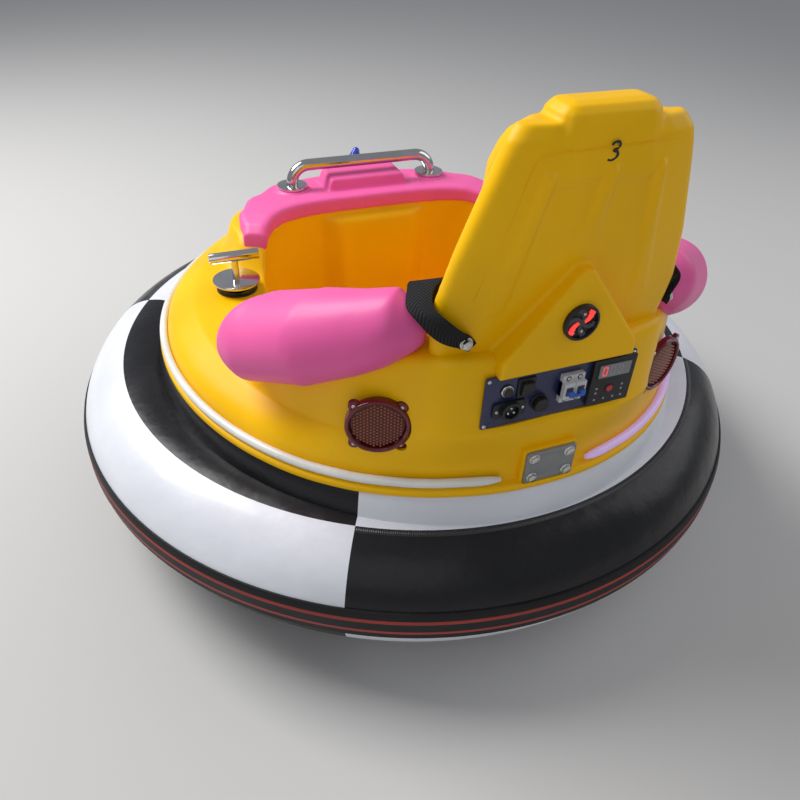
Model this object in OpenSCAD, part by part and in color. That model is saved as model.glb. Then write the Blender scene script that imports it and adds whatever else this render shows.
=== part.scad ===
// Battery bumper car with an inflated ring, two hand levers and a tall seat back.
// Millimetres. The origin is on the floor under the middle of the ring,
// +Y is the way the driver faces, +X is the driver's right and +Z is up.

/* [Inflated ring] */
// Overall diameter of the inflated ring
ring_d = 1360; // [1320:5:1400]
// Diameter of the inflated tube itself
tube_d = 243; // [236:1:250]
// Height of the middle of the tube above the floor
tube_z = 190; // [184:1:196]
// Height of the rubbing strip round the outside
strip_h = 60; // [40:1:70]
// Thickness of the rubbing strip
strip_t = 4; // [3:0.5:6]
// Small ribs along the rubbing strip
strip_ribs = 3; // [1:1:3]

/* [Body] */
// Half width of the body at the light strip
body_half_w = 500; // [492:1:506]
// Reach of the body at the light strip, forward
body_front = 532; // [520:1:536]
// Reach of the body at the light strip, rearward
body_rear = 545; // [538:1:550]
// Wall of the moulded body
wall = 6; // [4:0.5:7]
// Height of the light strip's middle
led_z = 372; // [368:1:378]
// Diameter of the light strip
led_d = 15; // [12:0.5:16]
// Height of the side decks
deck_z = 425; // [415:1:435]
// Rise of the front hump above the side decks
front_rise = 78; // [60:1:90]
// Rise of the rear housing above the side decks
rear_rise = 180; // [170:1:190]

/* [Cockpit] */
// Half width of the cockpit opening
well_half_w = 285; // [275:1:292]
// Reach of the opening ahead of the body's middle
well_front = 238; // [225:1:245]
// Reach of the opening behind the body's middle
well_rear = 423; // [410:1:426]
// How much narrower the well is at its floor
well_draft = 22; // [10:1:30]
// How much further the well's back comes forward at its floor
well_back_draft = 24; // [20:1:40]
// Height of the floor's top
floor_z = 158; // [152:1:164]
// Thickness of the floor panel
floor_t = 8; // [6:0.5:10]
// Height of the bench above the floor panel
bench_h = 150; // [130:1:170]

/* [Seat back] */
// Height of the seat back's shoulders above the floor
seat_top = 897; // [880:1:910]
// Height of the head pad's top above the floor
head_top = 926; // [915:1:935]
// Half width of the seat back at its foot, at the back
seat_foot_w = 176; // [170:1:182]
// Half width of the seat back at its shoulders, at the back
seat_top_w = 132; // [120:1:140]
// Thickness of the seat back, front to back
seat_t = 100; // [85:1:105]

/* [Hand levers] */
// Sideways distance from the middle to each lever
lever_x = 342; // [335:1:348]
// Distance of the levers ahead of the ring's middle
lever_y = 70; // [60:1:80]
// Height of the cross bar above the side deck
lever_h = 70; // [60:1:80]
// Length of the cross bar
bar_len = 95; // [85:1:110]
// Diameter of the cross bar
bar_d = 21; // [18:0.5:24]
// Wall of the cross bar, a tube open at both ends
bar_wall = 2; // [1.5:0.5:3]
// Diameter of the lever's stem
stem_d = 14; // [12:0.5:16]
// Diameter of the cover disc
disc_d = 92; // [84:1:96]

/* [Grab rail] */
// Sideways distance from the middle to each rail post
post_x = 164; // [155:1:170]
// Diameter of the rail's tube
rail_d = 25; // [22:0.5:28]
// Height of the bar's middle above the pad
rail_h = 46; // [42:1:55]

/* [Wheels] */
// Diameter of the driven wheels
wheel_d = 200; // [190:1:205]
// Width of the driven tyres
tyre_w = 50; // [40:1:54]
// Sideways distance from the middle to each driven wheel
wheel_x = 325; // [318:1:330]
// Diameter of the swivel castors' wheels
castor_d = 75; // [70:1:80]
// Distance of the castors' swivels ahead of and behind the middle
castor_y = 325; // [315:1:330]
// Trail of each castor wheel behind its swivel
castor_trail = 30; // [24:1:34]

/* [Rear equipment] */
// Width of the blue equipment panel
panel_w = 244; // [236:1:250]
// Height of the blue equipment panel
panel_h = 88; // [84:1:92]
// Height of the panel's middle above the floor
panel_z = 535; // [530:1:540]
// Width of the bare steel plate
plate_w = 84; // [80:1:90]
// Height of the bare steel plate
plate_h = 58; // [54:1:62]
// Sideways distance between the plate's bolts
plate_bolt_x = 60; // [54:1:62]
// Height between the plate's bolts
plate_bolt_z = 36; // [30:1:38]
// Diameter of the round tail lamps
lamp_d = 96; // [90:1:100]
// Diameter of the round light on the gable
back_light_d = 64; // [58:1:68]

/* [Hidden] */

// Colours
YELLOW = [0.98, 0.76, 0.05];
PINK = [0.93, 0.38, 0.66];
NAVY = [0.10, 0.14, 0.32];
STEEL = [0.62, 0.64, 0.66];
CHROME = [0.80, 0.81, 0.83];
BLACK = [0.07, 0.07, 0.08];
PVC = [0.90, 0.90, 0.91];
RED = [0.75, 0.07, 0.08];

// Hairline left between pieces that lie on a curved seat
SEAT = 0.4;
// The finest step used for true curves
FINE = 96;

ring_r = ring_d / 2 - strip_t;
tube_r = tube_d / 2;
tube_ring_r = ring_r - tube_r;

// The body's plan is drawn round this point on the centre line
body_y = -20;
// Sections of the body shell round that point
SHELL_STEPS = 72;

function lerp(a, b, t) = a + (b - a) * t;
function clamp(t) = min(1, max(0, t));
function ease(t) = clamp(t) * clamp(t) * (3 - 2 * clamp(t));

// Value of a table's column at an angle, eased from row to row
function at_angle(table, a, col, row = 0) =
    row >= len(table) - 2 || a <= table[row + 1][0]
    ? lerp(table[row][col], table[row + 1][col],
           ease((a - table[row][0]) / (table[row + 1][0] - table[row][0])))
    : at_angle(table, a, col, row + 1);

// Distance from a superellipse's middle to its edge, in direction a from +X
function super_r(a, half_w, reach, power) =
    pow(pow(abs(cos(a)) / half_w, power) + pow(abs(sin(a)) / reach, power), -1 / power);

// Plan of the body at the light strip, and plan of the cockpit opening
function body_r(a) = super_r(a, body_half_w, sin(a) > 0 ? body_front : body_rear, 2);
function well_r(a) = super_r(a, well_half_w, sin(a) > 0 ? well_front : well_rear, 3.6);

// Angle away from straight ahead, 0 at the front and 180 at the back
function from_front(a) = acos(sin(a));

// The decks round the cockpit: angle from the front, rise of the deck, run of the flank
// inward, swell of the flank outward
RISE = 1;
RUN_IN = 2;
SWELL = 3;
DECK = [
    [0, front_rise, 70, 0],
    [50, front_rise, 78, 0],
    [65, 0, 48, 0],
    [104, 0, 48, 0],
    [124, 42, 42, 0],
    [138, 80, 30, 0],
    [148, 140, 14, 0],
    [153, rear_rise - 16, 10, 2],
    [160, rear_rise, 6, 20],
    [180, rear_rise, 6, 0]
];
function deck_rise(a) = at_angle(DECK, from_front(a), RISE);
function flank_run(a) = at_angle(DECK, from_front(a), RUN_IN);
function draft(a) = well_draft + well_back_draft * pow(max(0, -sin(a)), 2);
function flank_swell(a) = at_angle(DECK, from_front(a), SWELL);

// Top of the inflated tube at a distance from the ring's middle
function tube_top(r) = tube_z + sqrt(max(0, tube_r * tube_r - pow(tube_ring_r - r, 2)));
// Distance from the ring's middle to a point of the body's plan
function ring_dist(a, r) = norm([r * cos(a), r * sin(a) + body_y]);

// The lip that carries the light strip
lip_out = 9;
lip_in = 8;

// The lip stands a hairline off the tube
function shell_low(a) =
    let (lip = body_r(a) + lip_out)
    max(tube_top(ring_dist(a, lip)), tube_top(ring_dist(a, lip - wall))) + SEAT;

// Outside of one section of the body shell, from the lip over the deck into the well,
// as distance from the body's middle and height
function shell_path(a) =
    let (
        w = well_r(a),
        h = deck_z + deck_rise(a),
        run = flank_run(a),
        swell = flank_swell(a),
        lip = body_r(a) + lip_out,
        foot = body_r(a) - lip_in,
        low = shell_low(a),
        base = led_z + led_d / 2 + 5
    )
    [
        [lip, low],
        [lip, led_z - led_d / 2 - 5],
        [lip - 3, led_z - led_d / 2 - 1],
        [foot, led_z - led_d / 2],
        [foot, base],
        [foot - run * 0.14 + swell * 0.7, lerp(base, h, 0.16)],
        [foot - run * 0.40 + swell, lerp(base, h, 0.45)],
        [foot - run * 0.74 + swell, lerp(base, h, 0.80)],
        [foot - run + swell, h - 6],
        [foot - run - 8 + swell, h],
        [w + 10, h],
        [w + 2, h - 4],
        [w, h - 12],
        [w - draft(a) * 0.4, lerp(h, floor_z, 0.45)],
        [w - draft(a), floor_z]
    ];
// The points of that path above the light strip
TOP_FIRST = 4;
TOP_LAST = 12;

// A path moved sideways by a wall, each point along the mean of its two edges' normals
function unit2(v) = v / norm(v);
function left_of(v) = [-v[1], v[0]];
function inset(path, t) =
    [for (i = [0 : len(path) - 1])
        let (
            before = unit2(path[max(1, i)] - path[max(1, i) - 1]),
            after = unit2(path[min(len(path) - 1, i + 1)] - path[min(len(path) - 2, i)]),
            mean = unit2(left_of(before) + left_of(after))
        )
        path[i] + mean * t / max(0.6, mean * left_of(before))
    ];
// The inside of the same section, level with the outside at both ends
function shell_inner(a) =
    let (path = inset(shell_path(a), wall), last = len(path) - 1)
    [for (i = [0 : last])
        i == 0 ? [body_r(a) + lip_out - wall, shell_low(a)]
        : i == last ? [well_r(a) - draft(a) + wall, floor_z]
        : path[i]];
function backwards(path) = [for (i = [len(path) - 1 : -1 : 0]) path[i]];

// A closed ring lofted through like sections, given as lists of points
module loft_ring(sections) {
    n = len(sections);
    m = len(sections[0]);
    polyhedron(
        points = [for (s = sections) each s],
        faces = [
            for (i = [0 : n - 1])
                for (j = [0 : m - 1])
                    let (a = i * m + j, b = i * m + (j + 1) % m,
                         c = ((i + 1) % n) * m + (j + 1) % m, d = ((i + 1) % n) * m + j)
                        each [[a, b, c], [a, c, d]]
        ]
    );
}

// A solid lofted through like sections, each one anticlockwise seen from the last end
module loft(sections) {
    n = len(sections);
    m = len(sections[0]);
    polyhedron(
        points = [for (s = sections) each s],
        faces = [
            [for (j = [0 : m - 1]) j],
            for (i = [0 : n - 2])
                for (j = [0 : m - 1])
                    let (a = i * m + j, b = i * m + (j + 1) % m,
                         c = (i + 1) * m + (j + 1) % m, d = (i + 1) * m + j)
                        each [[a, c, b], [a, d, c]],
            [for (j = [m - 1 : -1 : 0]) (n - 1) * m + j]
        ]
    );
}

// A block with rounded upright edges, its middle at x and y zero
module rounded_block(w, d, h, r) {
    linear_extrude(h)
        offset(r)
            square([w - 2 * r, d - 2 * r], center = true);
}

// A thin plate standing upright, facing the back, its middle at the origin
module upright_plate(w, h, t, r = 3) {
    rotate([90, 0, 0])
        linear_extrude(t)
            offset(r, $fn = 24)
                square([w - 2 * r, h - 2 * r], center = true);
}

// Both sides of the car: 1 is the driver's right, -1 the left
module on_side(side) {
    if (side > 0)
        children();
    else
        mirror([1, 0, 0])
            children();
}

// The rear wall's plane on the centre line, and the gable that stands proud of it
rear_y = body_y - body_rear + lip_in;
gable_face = rear_y - 12;
gable_foot_x = 107;
gable_peak_x = 8;
gable_peak_z = 733;
housing_top = deck_z + rear_rise;

module bumper_tube() {
    color(PVC)
        rotate_extrude($fn = FINE)
            translate([tube_ring_r, tube_z])
                circle(r = tube_r, $fn = 64);
}

// The strip hugs the tube's outside, with small ribs that run all the way round
module rub_strip() {
    rib = strip_h / (2 * strip_ribs + 1);
    color(BLACK)
        rotate_extrude($fn = FINE)
            difference() {
                union() {
                    intersection() {
                        translate([tube_ring_r, tube_z])
                            circle(r = tube_r + strip_t, $fn = 96);
                        translate([tube_ring_r, tube_z - strip_h / 2])
                            square([tube_r * 2, strip_h]);
                    }
                }
                translate([tube_ring_r, tube_z])
                    circle(r = tube_r + SEAT, $fn = 96);
                for (i = [0 : strip_ribs])
                    translate([ring_r + strip_t - 1, tube_z - strip_h / 2 + rib * 2 * i])
                        square([strip_t, rib]);
            }
}

// Points given as distance and height, set out on one azimuth of the body's plan
function on_azimuth(a, path) = [for (p = path) [p[0] * cos(a), p[0] * sin(a) + body_y, p[1]]];

module shell_ring() {
    sections = [
        for (i = [0 : SHELL_STEPS - 1])
            let (
                a = 360 * i / SHELL_STEPS,
                both = concat(shell_path(a), backwards(shell_inner(a)))
            )
            on_azimuth(a, both)
    ];
    loft_ring(sections);
}

// The space under the decks, filled, for cutting what lies on them
module deck_fill() {
    loft_ring([
        for (i = [0 : SHELL_STEPS - 1])
            let (a = 360 * i / SHELL_STEPS, path = shell_path(a))
            on_azimuth(a, concat(
                [for (k = [TOP_FIRST : TOP_LAST]) path[k]],
                [[path[TOP_LAST][0], path[TOP_FIRST][1]]]
            ))
    ]);
}

// The rear housing ends in a gable that carries the round light
module gable() {
    back = seat_rear_y - SEAT;
    low = panel_z + panel_h / 2 + 6;
    translate([0, back, 0])
        rotate([90, 0, 0])
            linear_extrude(back - gable_face)
                polygon([
                    [-gable_foot_x, low], [gable_foot_x, low], [gable_foot_x, housing_top],
                    [gable_peak_x, gable_peak_z], [-gable_peak_x, gable_peak_z],
                    [-gable_foot_x, housing_top]
                ]);
    translate([-gable_foot_x, gable_face, low])
        cube([2 * gable_foot_x, seat_rear_y + 14 - gable_face, housing_top - low]);
}

// Flat seat for the equipment panel, sunk in the rear wall
module panel_seat() {
    translate([-panel_w / 2 - 1, rear_y - 20, panel_z - panel_h / 2 - 1])
        cube([panel_w + 2, 20 + panel_sink, panel_h + 2]);
}

// Flat pad behind the steel plate, and the plate's bolt holes
plate_pad = 9;
module plate_seat() {
    translate([-plate_w / 2 - 4, rear_y - plate_pad, plate_z - plate_h / 2 - 3])
        cube([plate_w + 8, plate_pad + wall - 1, plate_h + 6]);
}
module plate_holes() {
    for (x = [-1, 1])
        for (z = [-1, 1])
            translate([x * plate_bolt_x / 2, rear_y + 2 * wall, plate_z + z * plate_bolt_z / 2])
                rotate([90, 0, 0])
                    cylinder(d = plate_hole_d, h = 6 * wall, $fn = 32);
}

module body_shell() {
    color(YELLOW)
        difference() {
            union() {
                shell_ring();
                gable();
                plate_seat();
            }
            panel_seat();
            plate_holes();
            for (side = [-1, 1])
                at_tail_lamp(side)
                    lamp_body(2 * SEAT, lamp_t, lamp_t);
            for (side = [-1, 1])
                translate([side * lever_x, lever_y, deck_z - 40])
                    cylinder(d = lever_hole_d, h = 80);
        }
}

// The well's floor panel, with an edge under the shell's inner wall
module cockpit_floor() {
    edge = wall + 6;
    color(YELLOW)
        translate([0, body_y, floor_z - floor_t])
            linear_extrude(floor_t)
                polygon([
                    for (i = [0 : SHELL_STEPS - 1])
                        let (a = 360 * i / SHELL_STEPS, r = well_r(a) - draft(a) + edge)
                            [r * cos(a), r * sin(a)]
                ]);
}

// The bench stands on the floor panel over the battery and follows the well's back
bench_front = -110;
bench_gap = 2;
bench_round = 24;
module bench_plan(shy) {
    offset(bench_round, $fn = 32)
        offset(delta = -bench_round - shy)
            intersection() {
                polygon([
                    for (i = [0 : SHELL_STEPS - 1])
                        let (a = 360 * i / SHELL_STEPS, r = well_r(a) - draft(a) - bench_gap)
                            [r * cos(a), r * sin(a) + body_y]
                ]);
                translate([-well_half_w, bench_front - well_rear])
                    square([2 * well_half_w, well_rear]);
            }
}
module seat_bench() {
    color(YELLOW)
        translate([0, 0, floor_z])
            difference() {
                linear_extrude(bench_h)
                    bench_plan(0);
                translate([0, 0, -1])
                    linear_extrude(bench_h - wall + 1)
                        bench_plan(wall);
            }
}

// Sections of the seat back: height, half width behind, half width in front, lean back,
// inset all round
seat_rear_y = rear_y + 4;
seat_bow = 28;
function seat_w(z) = lerp(seat_foot_w, seat_top_w, (z - housing_top) / (seat_top - housing_top));
SEAT_ROWS = [
    [housing_top, seat_w(housing_top), 34, 0, 0],
    [740, seat_w(740), 36, 0, 0],
    [seat_top - 50, seat_w(seat_top - 50), 30, 12, 0],
    [seat_top - 14, seat_w(seat_top - 14), 28, 16, 3],
    [seat_top, seat_w(seat_top), 26, 16, 14]
];
seat_corner_r = 16;
function seat_outline(half, taper, lean, shy) =
    let (
        r = seat_corner_r,
        bow = seat_bow * pow(half / seat_foot_w, 2),
        y0 = seat_rear_y - lean + bow + shy,
        y1 = seat_rear_y - lean + seat_t - shy,
        back = half - shy,
        front = half - taper - shy,
        corners = [[back - r, y0 + r, -80], [front - r, y1 - r, 0],
                   [-front + r, y1 - r, 90], [-back + r, y0 + r, 170]]
    )
    concat(
        [for (c = corners)
            for (k = [0 : 4])
                let (a = c[2] + k * 22.5)
                    [c[0] + r * cos(a), c[1] + r * sin(a)]],
        [for (k = [-2 : 2])
            let (x = k * back / 3)
                [x, y0 - bow * (1 - pow(x / back, 2))]]
    );
module seat_back() {
    head_w = 62;
    color(YELLOW)
        union() {
            loft([for (row = SEAT_ROWS)
                [for (p = seat_outline(row[1], row[2], row[3], row[4])) [p[0], p[1], row[0]]]]);
            hull()
                for (x = [-head_w, head_w])
                    for (y = [24, seat_t - 26])
                        for (z = [seat_top - 60, head_top - 20])
                            translate([x, seat_rear_y - 14 + y, z])
                                sphere(r = 20, $fn = 24);
        }
}

// The padded arms: place along the arm from 0 at the front, x, y, z, half width, half height
ARM = [
    [0.00, 366, -196, 504, 62, 56],
    [0.25, 358, -285, 530, 80, 74],
    [0.55, 314, -375, 566, 76, 70],
    [0.80, 262, -440, 606, 56, 56],
    [1.00, 228, -478, 634, 42, 42]
];
ARM_STEPS = 16;
ARM_SIDES = 24;
arm_round_front = 0.24;
arm_round_rear = 0.12;
function arm_point(t) = [for (col = [1 : 3]) at_angle(ARM, t, col)];
function arm_swell(t) =
    let (front = clamp(1 - t / arm_round_front), rear = clamp(1 - (1 - t) / arm_round_rear))
    max(0.04, sqrt(1 - front * front) * sqrt(1 - rear * rear));
function arm_section(t) =
    let (
        ahead = arm_point(min(1, t + 0.02)) - arm_point(max(0, t - 0.02)),
        along = unit2([ahead[0], ahead[1]]),
        across = [along[1], -along[0], 0],
        half_w = at_angle(ARM, t, 4) * arm_swell(t),
        half_h = at_angle(ARM, t, 5) * arm_swell(t)
    )
    [for (k = [0 : ARM_SIDES - 1])
        let (b = -360 * k / ARM_SIDES)
            arm_point(t) + half_w * cos(b) * across + half_h * sin(b) * [0, 0, 1]];
module armrest(side) {
    color(PINK)
        difference() {
            on_side(side)
                loft([for (i = [0 : ARM_STEPS]) arm_section((1 - cos(180 * i / ARM_STEPS)) / 2)]);
            deck_fill();
        }
}
module armrest_left() { armrest(-1); }
module armrest_right() { armrest(1); }

// The pad on the front hump follows the cockpit's edge
pad_t = 26;
pad_base = deck_z + front_rise;
module dash_pad() {
    color(PINK)
        union() {
            translate([0, body_y, pad_base])
                linear_extrude(pad_t)
                    polygon(concat(
                        [for (a = [32 : 4 : 148]) (well_r(a) + 4) * [cos(a), sin(a)]],
                        [for (a = [148 : -4 : 32]) (body_r(a) - 110) * [cos(a), sin(a)]]
                    ));
            translate([0, 295, pad_base + pad_t])
                rounded_block(200, 84, 22, 10);
        }
}

rail_y = 297;
rail_bend = 38;
flange_t = 6;
pad_top = pad_base + pad_t;
rail_z = pad_top + rail_h;
module grab_rail() {
    color(CHROME)
        union() {
            translate([-(post_x - rail_bend), rail_y, rail_z])
                rotate([0, 90, 0])
                    cylinder(d = rail_d, h = 2 * (post_x - rail_bend), $fn = 48);
            for (side = [-1, 1])
                on_side(side) {
                    translate([post_x - rail_bend, rail_y, rail_z - rail_bend])
                        rotate([90, 0, 0])
                            rotate_extrude(angle = 90, $fn = 48)
                                translate([rail_bend, 0])
                                    circle(d = rail_d, $fn = 48);
                    translate([post_x, rail_y, pad_top + flange_t])
                        cylinder(d = rail_d, h = rail_h - rail_bend - flange_t, $fn = 48);
                }
        }
}

module rail_flanges() {
    color(CHROME)
        for (side = [-1, 1])
            translate([side * post_x, rail_y, pad_top])
                cylinder(d = 66, h = flange_t, $fn = 64);
}

lamp_y = 378;
lamp_base_d = 46;
module front_lamp() {
    color([0.05, 0.20, 0.75])
        translate([0, lamp_y, pad_top])
            hull() {
                cylinder(d = lamp_base_d, h = 6, $fn = 32);
                translate([0, 0, 20])
                    sphere(d = lamp_base_d - 8, $fn = 24);
            }
}

// One strip runs in the ledge from near the front to near the back plate
module led_strip(side) {
    steps = 40;
    first = side > 0 ? -82 : 262;
    last = side > 0 ? 84 : 96;
    path = [for (i = [0 : steps])
        let (a = lerp(first, last, i / steps), r = body_r(a) - lip_in + led_d / 2 + SEAT)
            [r * cos(a), r * sin(a) + body_y, led_z + SEAT]];
    sides = 8;
    color([0.95, 0.95, 0.97])
        loft([for (i = [0 : steps])
            let (d = path[min(steps, i + 1)] - path[max(0, i - 1)],
                 along = d / norm(d), across = cross(along, [0, 0, 1]))
                [for (k = [0 : sides - 1])
                    let (b = -360 * k / sides - 22.5)
                        path[i] + (led_d / 2 - 0.1) * (cos(b) * across + sin(b) * [0, 0, 1])]]);
}
module led_strip_left() { led_strip(-1); }
module led_strip_right() { led_strip(1); }

// The tail lamps lie in shallow pockets in the flank, turned to follow it
lamp_a = -61.8;
lamp_z = 477;
lamp_t = 14;
lamp_sink = 3;
lamp_ear_d = 18;
lamp_ear_t = 5;
module at_tail_lamp(side) {
    r = body_r(lamp_a) - lip_in - lamp_sink;
    on_side(side)
        translate([r * cos(lamp_a), r * sin(lamp_a) + body_y, lamp_z])
            rotate([0, 90, lamp_a - 4])
                children();
}
module lamp_body(grow, rim_t, ear_t) {
    cylinder(d = lamp_d + grow, h = rim_t, $fn = 64);
    for (k = [0 : 3])
        rotate([0, 0, 45 + 90 * k])
            translate([lamp_d / 2, 0, 0])
                cylinder(d = lamp_ear_d + grow, h = ear_t, $fn = 32);
}
module tail_lamp(side) {
    color(RED)
        at_tail_lamp(side)
            union()
                lamp_body(0, lamp_t, lamp_ear_t);
}
module tail_lamp_left() { tail_lamp(-1); }
module tail_lamp_right() { tail_lamp(1); }

back_light_z = 656;
module back_light() {
    color(BLACK)
        translate([0, gable_face, back_light_z])
            rotate([90, 0, 0])
                cylinder(d = back_light_d, h = 8, $fn = 64);
}

// Things on the blue panel: x from its middle as seen from behind, height from its middle
panel_t = 3;
panel_sink = 3.5;
panel_face = rear_y + panel_sink - panel_t;
module on_panel(x, z) {
    translate([x, panel_face, panel_z + z])
        children();
}
module control_panel() {
    color(NAVY)
        translate([0, panel_face + panel_t, panel_z])
            upright_plate(panel_w, panel_h, panel_t, 4);
}
module charging_inlet() {
    color(BLACK)
        on_panel(-78, -14)
            union() {
                upright_plate(52, 26, 4, 5);
                rotate([90, 0, 0])
                    cylinder(d = 30, h = 12, $fn = 48);
            }
}
module panel_button() {
    color(BLACK)
        on_panel(-84, 18)
            rotate([90, 0, 0])
                cylinder(d = 16, h = 8, $fn = 32);
}
module rocker_switch() {
    color(BLACK)
        on_panel(-52, 18)
            upright_plate(24, 28, 9, 2);
}
module panel_cap() {
    color(BLACK)
        on_panel(-26, -14)
            rotate([90, 0, 0])
                cylinder(d = 26, h = 12, $fn = 48);
}
module circuit_breaker() {
    color(PVC)
        on_panel(24, 4)
            upright_plate(38, 44, 16, 2);
}
module timer_display() {
    color(BLACK)
        on_panel(84, 0)
            upright_plate(72, 80, 7, 2);
}

// Bare steel plate on its pad between the ends of the light strips
plate_z = 404;
plate_t = 5;
plate_hole_d = 8.5;
module rear_plate() {
    color(STEEL)
        difference() {
            translate([0, rear_y - plate_pad, plate_z])
                upright_plate(plate_w, plate_h, plate_t, 3);
            plate_holes();
        }
}

// Black collar in the deck under each lever's disc, with two cheeks that hold the pin
lever_hole_d = 74;
collar_d = 80;
collar_bore = 54;
collar_t = 3;
collar_depth = 26;
lever_pivot_z = 350;
lever_pin_d = 10;
barrel_d = 22;
barrel_w = 30;
cheek_t = 4;
module lever_mounts() {
    color(BLACK)
        for (side = [-1, 1])
            translate([side * lever_x, lever_y, 0])
                union() {
                    difference() {
                        union() {
                            translate([0, 0, deck_z])
                                cylinder(d = collar_d, h = collar_t, $fn = 64);
                            translate([0, 0, deck_z - collar_depth])
                                cylinder(d = lever_hole_d - 1, h = collar_depth, $fn = 64);
                        }
                        translate([0, 0, deck_z - collar_depth - 1])
                            cylinder(d = collar_bore, h = collar_depth + collar_t + 2, $fn = 64);
                    }
                    for (x = [-1, 1])
                        translate([x * (barrel_w / 2 + 1 + cheek_t / 2) - cheek_t / 2, -34,
                                   deck_z - collar_depth])
                            cube([cheek_t, 68, 8]);
                    for (x = [-1, 1])
                        translate([x * (barrel_w / 2 + 1 + cheek_t / 2) - cheek_t / 2, -10,
                                   lever_pivot_z - 12])
                            cube([cheek_t, 20, deck_z - collar_depth - lever_pivot_z + 16]);
                    translate([-barrel_w / 2 - 3, 0, lever_pivot_z])
                        rotate([0, 90, 0])
                            cylinder(d = lever_pin_d, h = barrel_w + 6, $fn = 48);
                }
}

// The lever turns on that pin; its disc covers the collar
disc_gap = 18;
disc_t = 3;
module lever(side) {
    color(CHROME)
        on_side(side)
            translate([lever_x, lever_y, 0])
                difference() {
                    union() {
                        translate([0, 0, lever_pivot_z])
                            cylinder(d = stem_d, h = deck_z + lever_h - lever_pivot_z, $fn = 48);
                        translate([0, 0, deck_z + disc_gap])
                            cylinder(d = disc_d, h = disc_t, $fn = 96);
                        translate([-bar_len / 2, 0, deck_z + lever_h])
                            rotate([0, 90, 0])
                                cylinder(d = bar_d, h = bar_len, $fn = 48);
                        translate([-barrel_w / 2, 0, lever_pivot_z])
                            rotate([0, 90, 0])
                                cylinder(d = barrel_d, h = barrel_w, $fn = 48);
                    }
                    translate([-barrel_w, 0, lever_pivot_z])
                        rotate([0, 90, 0])
                            cylinder(d = lever_pin_d + 0.2, h = 2 * barrel_w, $fn = 48);
                    translate([-bar_len, 0, deck_z + lever_h])
                        rotate([0, 90, 0])
                            cylinder(d = bar_d - 2 * bar_wall, h = 2 * bar_len, $fn = 48);
                }
}
module lever_left() { lever(-1); }
module lever_right() { lever(1); }

// Webbing from the bolt beside the seat back, over the arm's rear end, its end hanging free
// Rows: x, y, z of its middle, then the direction of its width
belt_w = 48;
belt_t = 2.4;
BELT = [
    [156.5, -546, 624, 0.2, 0, -1],
    [184, -546, 630, 0.3, 0, -1],
    [216, -530, 652, 0.5, 0.3, -0.9],
    [236, -502, 682, 0.6, 0.6, -0.6],
    [220, -462, 696, 0.6, 0.75, -0.5],
    [190, -430, 670, 0.75, 0.6, -0.2],
    [168, -410, 600, 1, 0.3, 0],
    [152, -398, 480, 1, 0.1, 0],
    [146, -384, 350, 1, 0, 0]
];
function belt_mid(i) = [for (k = [0 : 2]) BELT[i][k]];
function belt_across(i) = let (v = [BELT[i][3], BELT[i][4], BELT[i][5]]) v / norm(v);
function belt_along(i) =
    let (v = belt_mid(min(len(BELT) - 1, i + 1)) - belt_mid(max(0, i - 1))) v / norm(v);
function belt_section(i) =
    let (
        wide = belt_across(i) * belt_w / 2,
        thin = cross(belt_along(i), belt_across(i)) * belt_t / 2
    )
    [for (c = [[-1, -1], [1, -1], [1, 1], [-1, 1]]) belt_mid(i) + c[0] * wide + c[1] * thin];
module belt(side) {
    color(BLACK)
        on_side(side)
            loft([for (i = [0 : len(BELT) - 1]) belt_section(i)]);
}
module belt_left() { belt(-1); }
module belt_right() { belt(1); }

belt_bolt_x = 150;
belt_bolt_z = 624;
module belt_bolts() {
    seat = -532.6;
    head = BELT[0][1] - belt_t;
    color(CHROME)
        for (side = [-1, 1])
            translate([side * belt_bolt_x, 0, belt_bolt_z])
                rotate([90, 0, 0])
                    union() {
                        translate([0, 0, -seat + SEAT])
                            cylinder(d = 12, h = seat - head, $fn = 32);
                        translate([0, 0, -head])
                            cylinder(d = 20, h = 8, $fn = 6);
                    }
}

// Welded steel chassis: hoop against the tube, two long bars, three cross bars
bar = 30;
frame_z = floor_z - floor_t - bar;
hoop_r = tube_ring_r - tube_r - SEAT;
hoop_t = 6;
hoop_top = tube_z + 25;
rail_x = 150;
motor_plate_t = 8;
module chassis_frame() {
    long = sqrt(pow(hoop_r - 1, 2) - pow(rail_x + bar / 2, 2));
    color(STEEL)
        union() {
            rotate_extrude($fn = FINE)
                translate([hoop_r - hoop_t, frame_z])
                    square([hoop_t, hoop_top - frame_z]);
            for (x = [-1, 1])
                translate([x * rail_x - bar / 2, -long, frame_z])
                    cube([bar, 2 * long, bar]);
            for (y = [-1, 1])
                translate([-rail_x, y * castor_y - bar, frame_z])
                    cube([2 * rail_x, 2 * bar, bar]);
            translate([-gearbox_x - gearbox_w, drive_y - 50, frame_z + bar - motor_plate_t])
                cube([2 * (gearbox_x + gearbox_w), 100, motor_plate_t]);
        }
}

module battery_block() {
    color(BLACK)
        translate([-130, -330, floor_z])
            cube([260, 175, 125]);
}

axle_z = wheel_d / 2;
drive_y = -30;
hub_d = 110;
axle_d = 17;
gearbox_x = 188;
gearbox_w = 90;
gearbox_t = 76;
module drive_motor(side) {
    top = frame_z + bar - motor_plate_t;
    color(STEEL)
        on_side(side)
            translate([gearbox_x, drive_y, 0])
                union() {
                    translate([0, -gearbox_t / 2, axle_z - 34])
                        cube([gearbox_w, gearbox_t, top - axle_z + 34]);
                    translate([gearbox_w, 0, axle_z])
                        rotate([0, 90, 0])
                            cylinder(d = axle_d, h = wheel_x - gearbox_x - gearbox_w + 34, $fn = 48);
                }
}
module drive_motor_left() { drive_motor(-1); }
module drive_motor_right() { drive_motor(1); }

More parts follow.
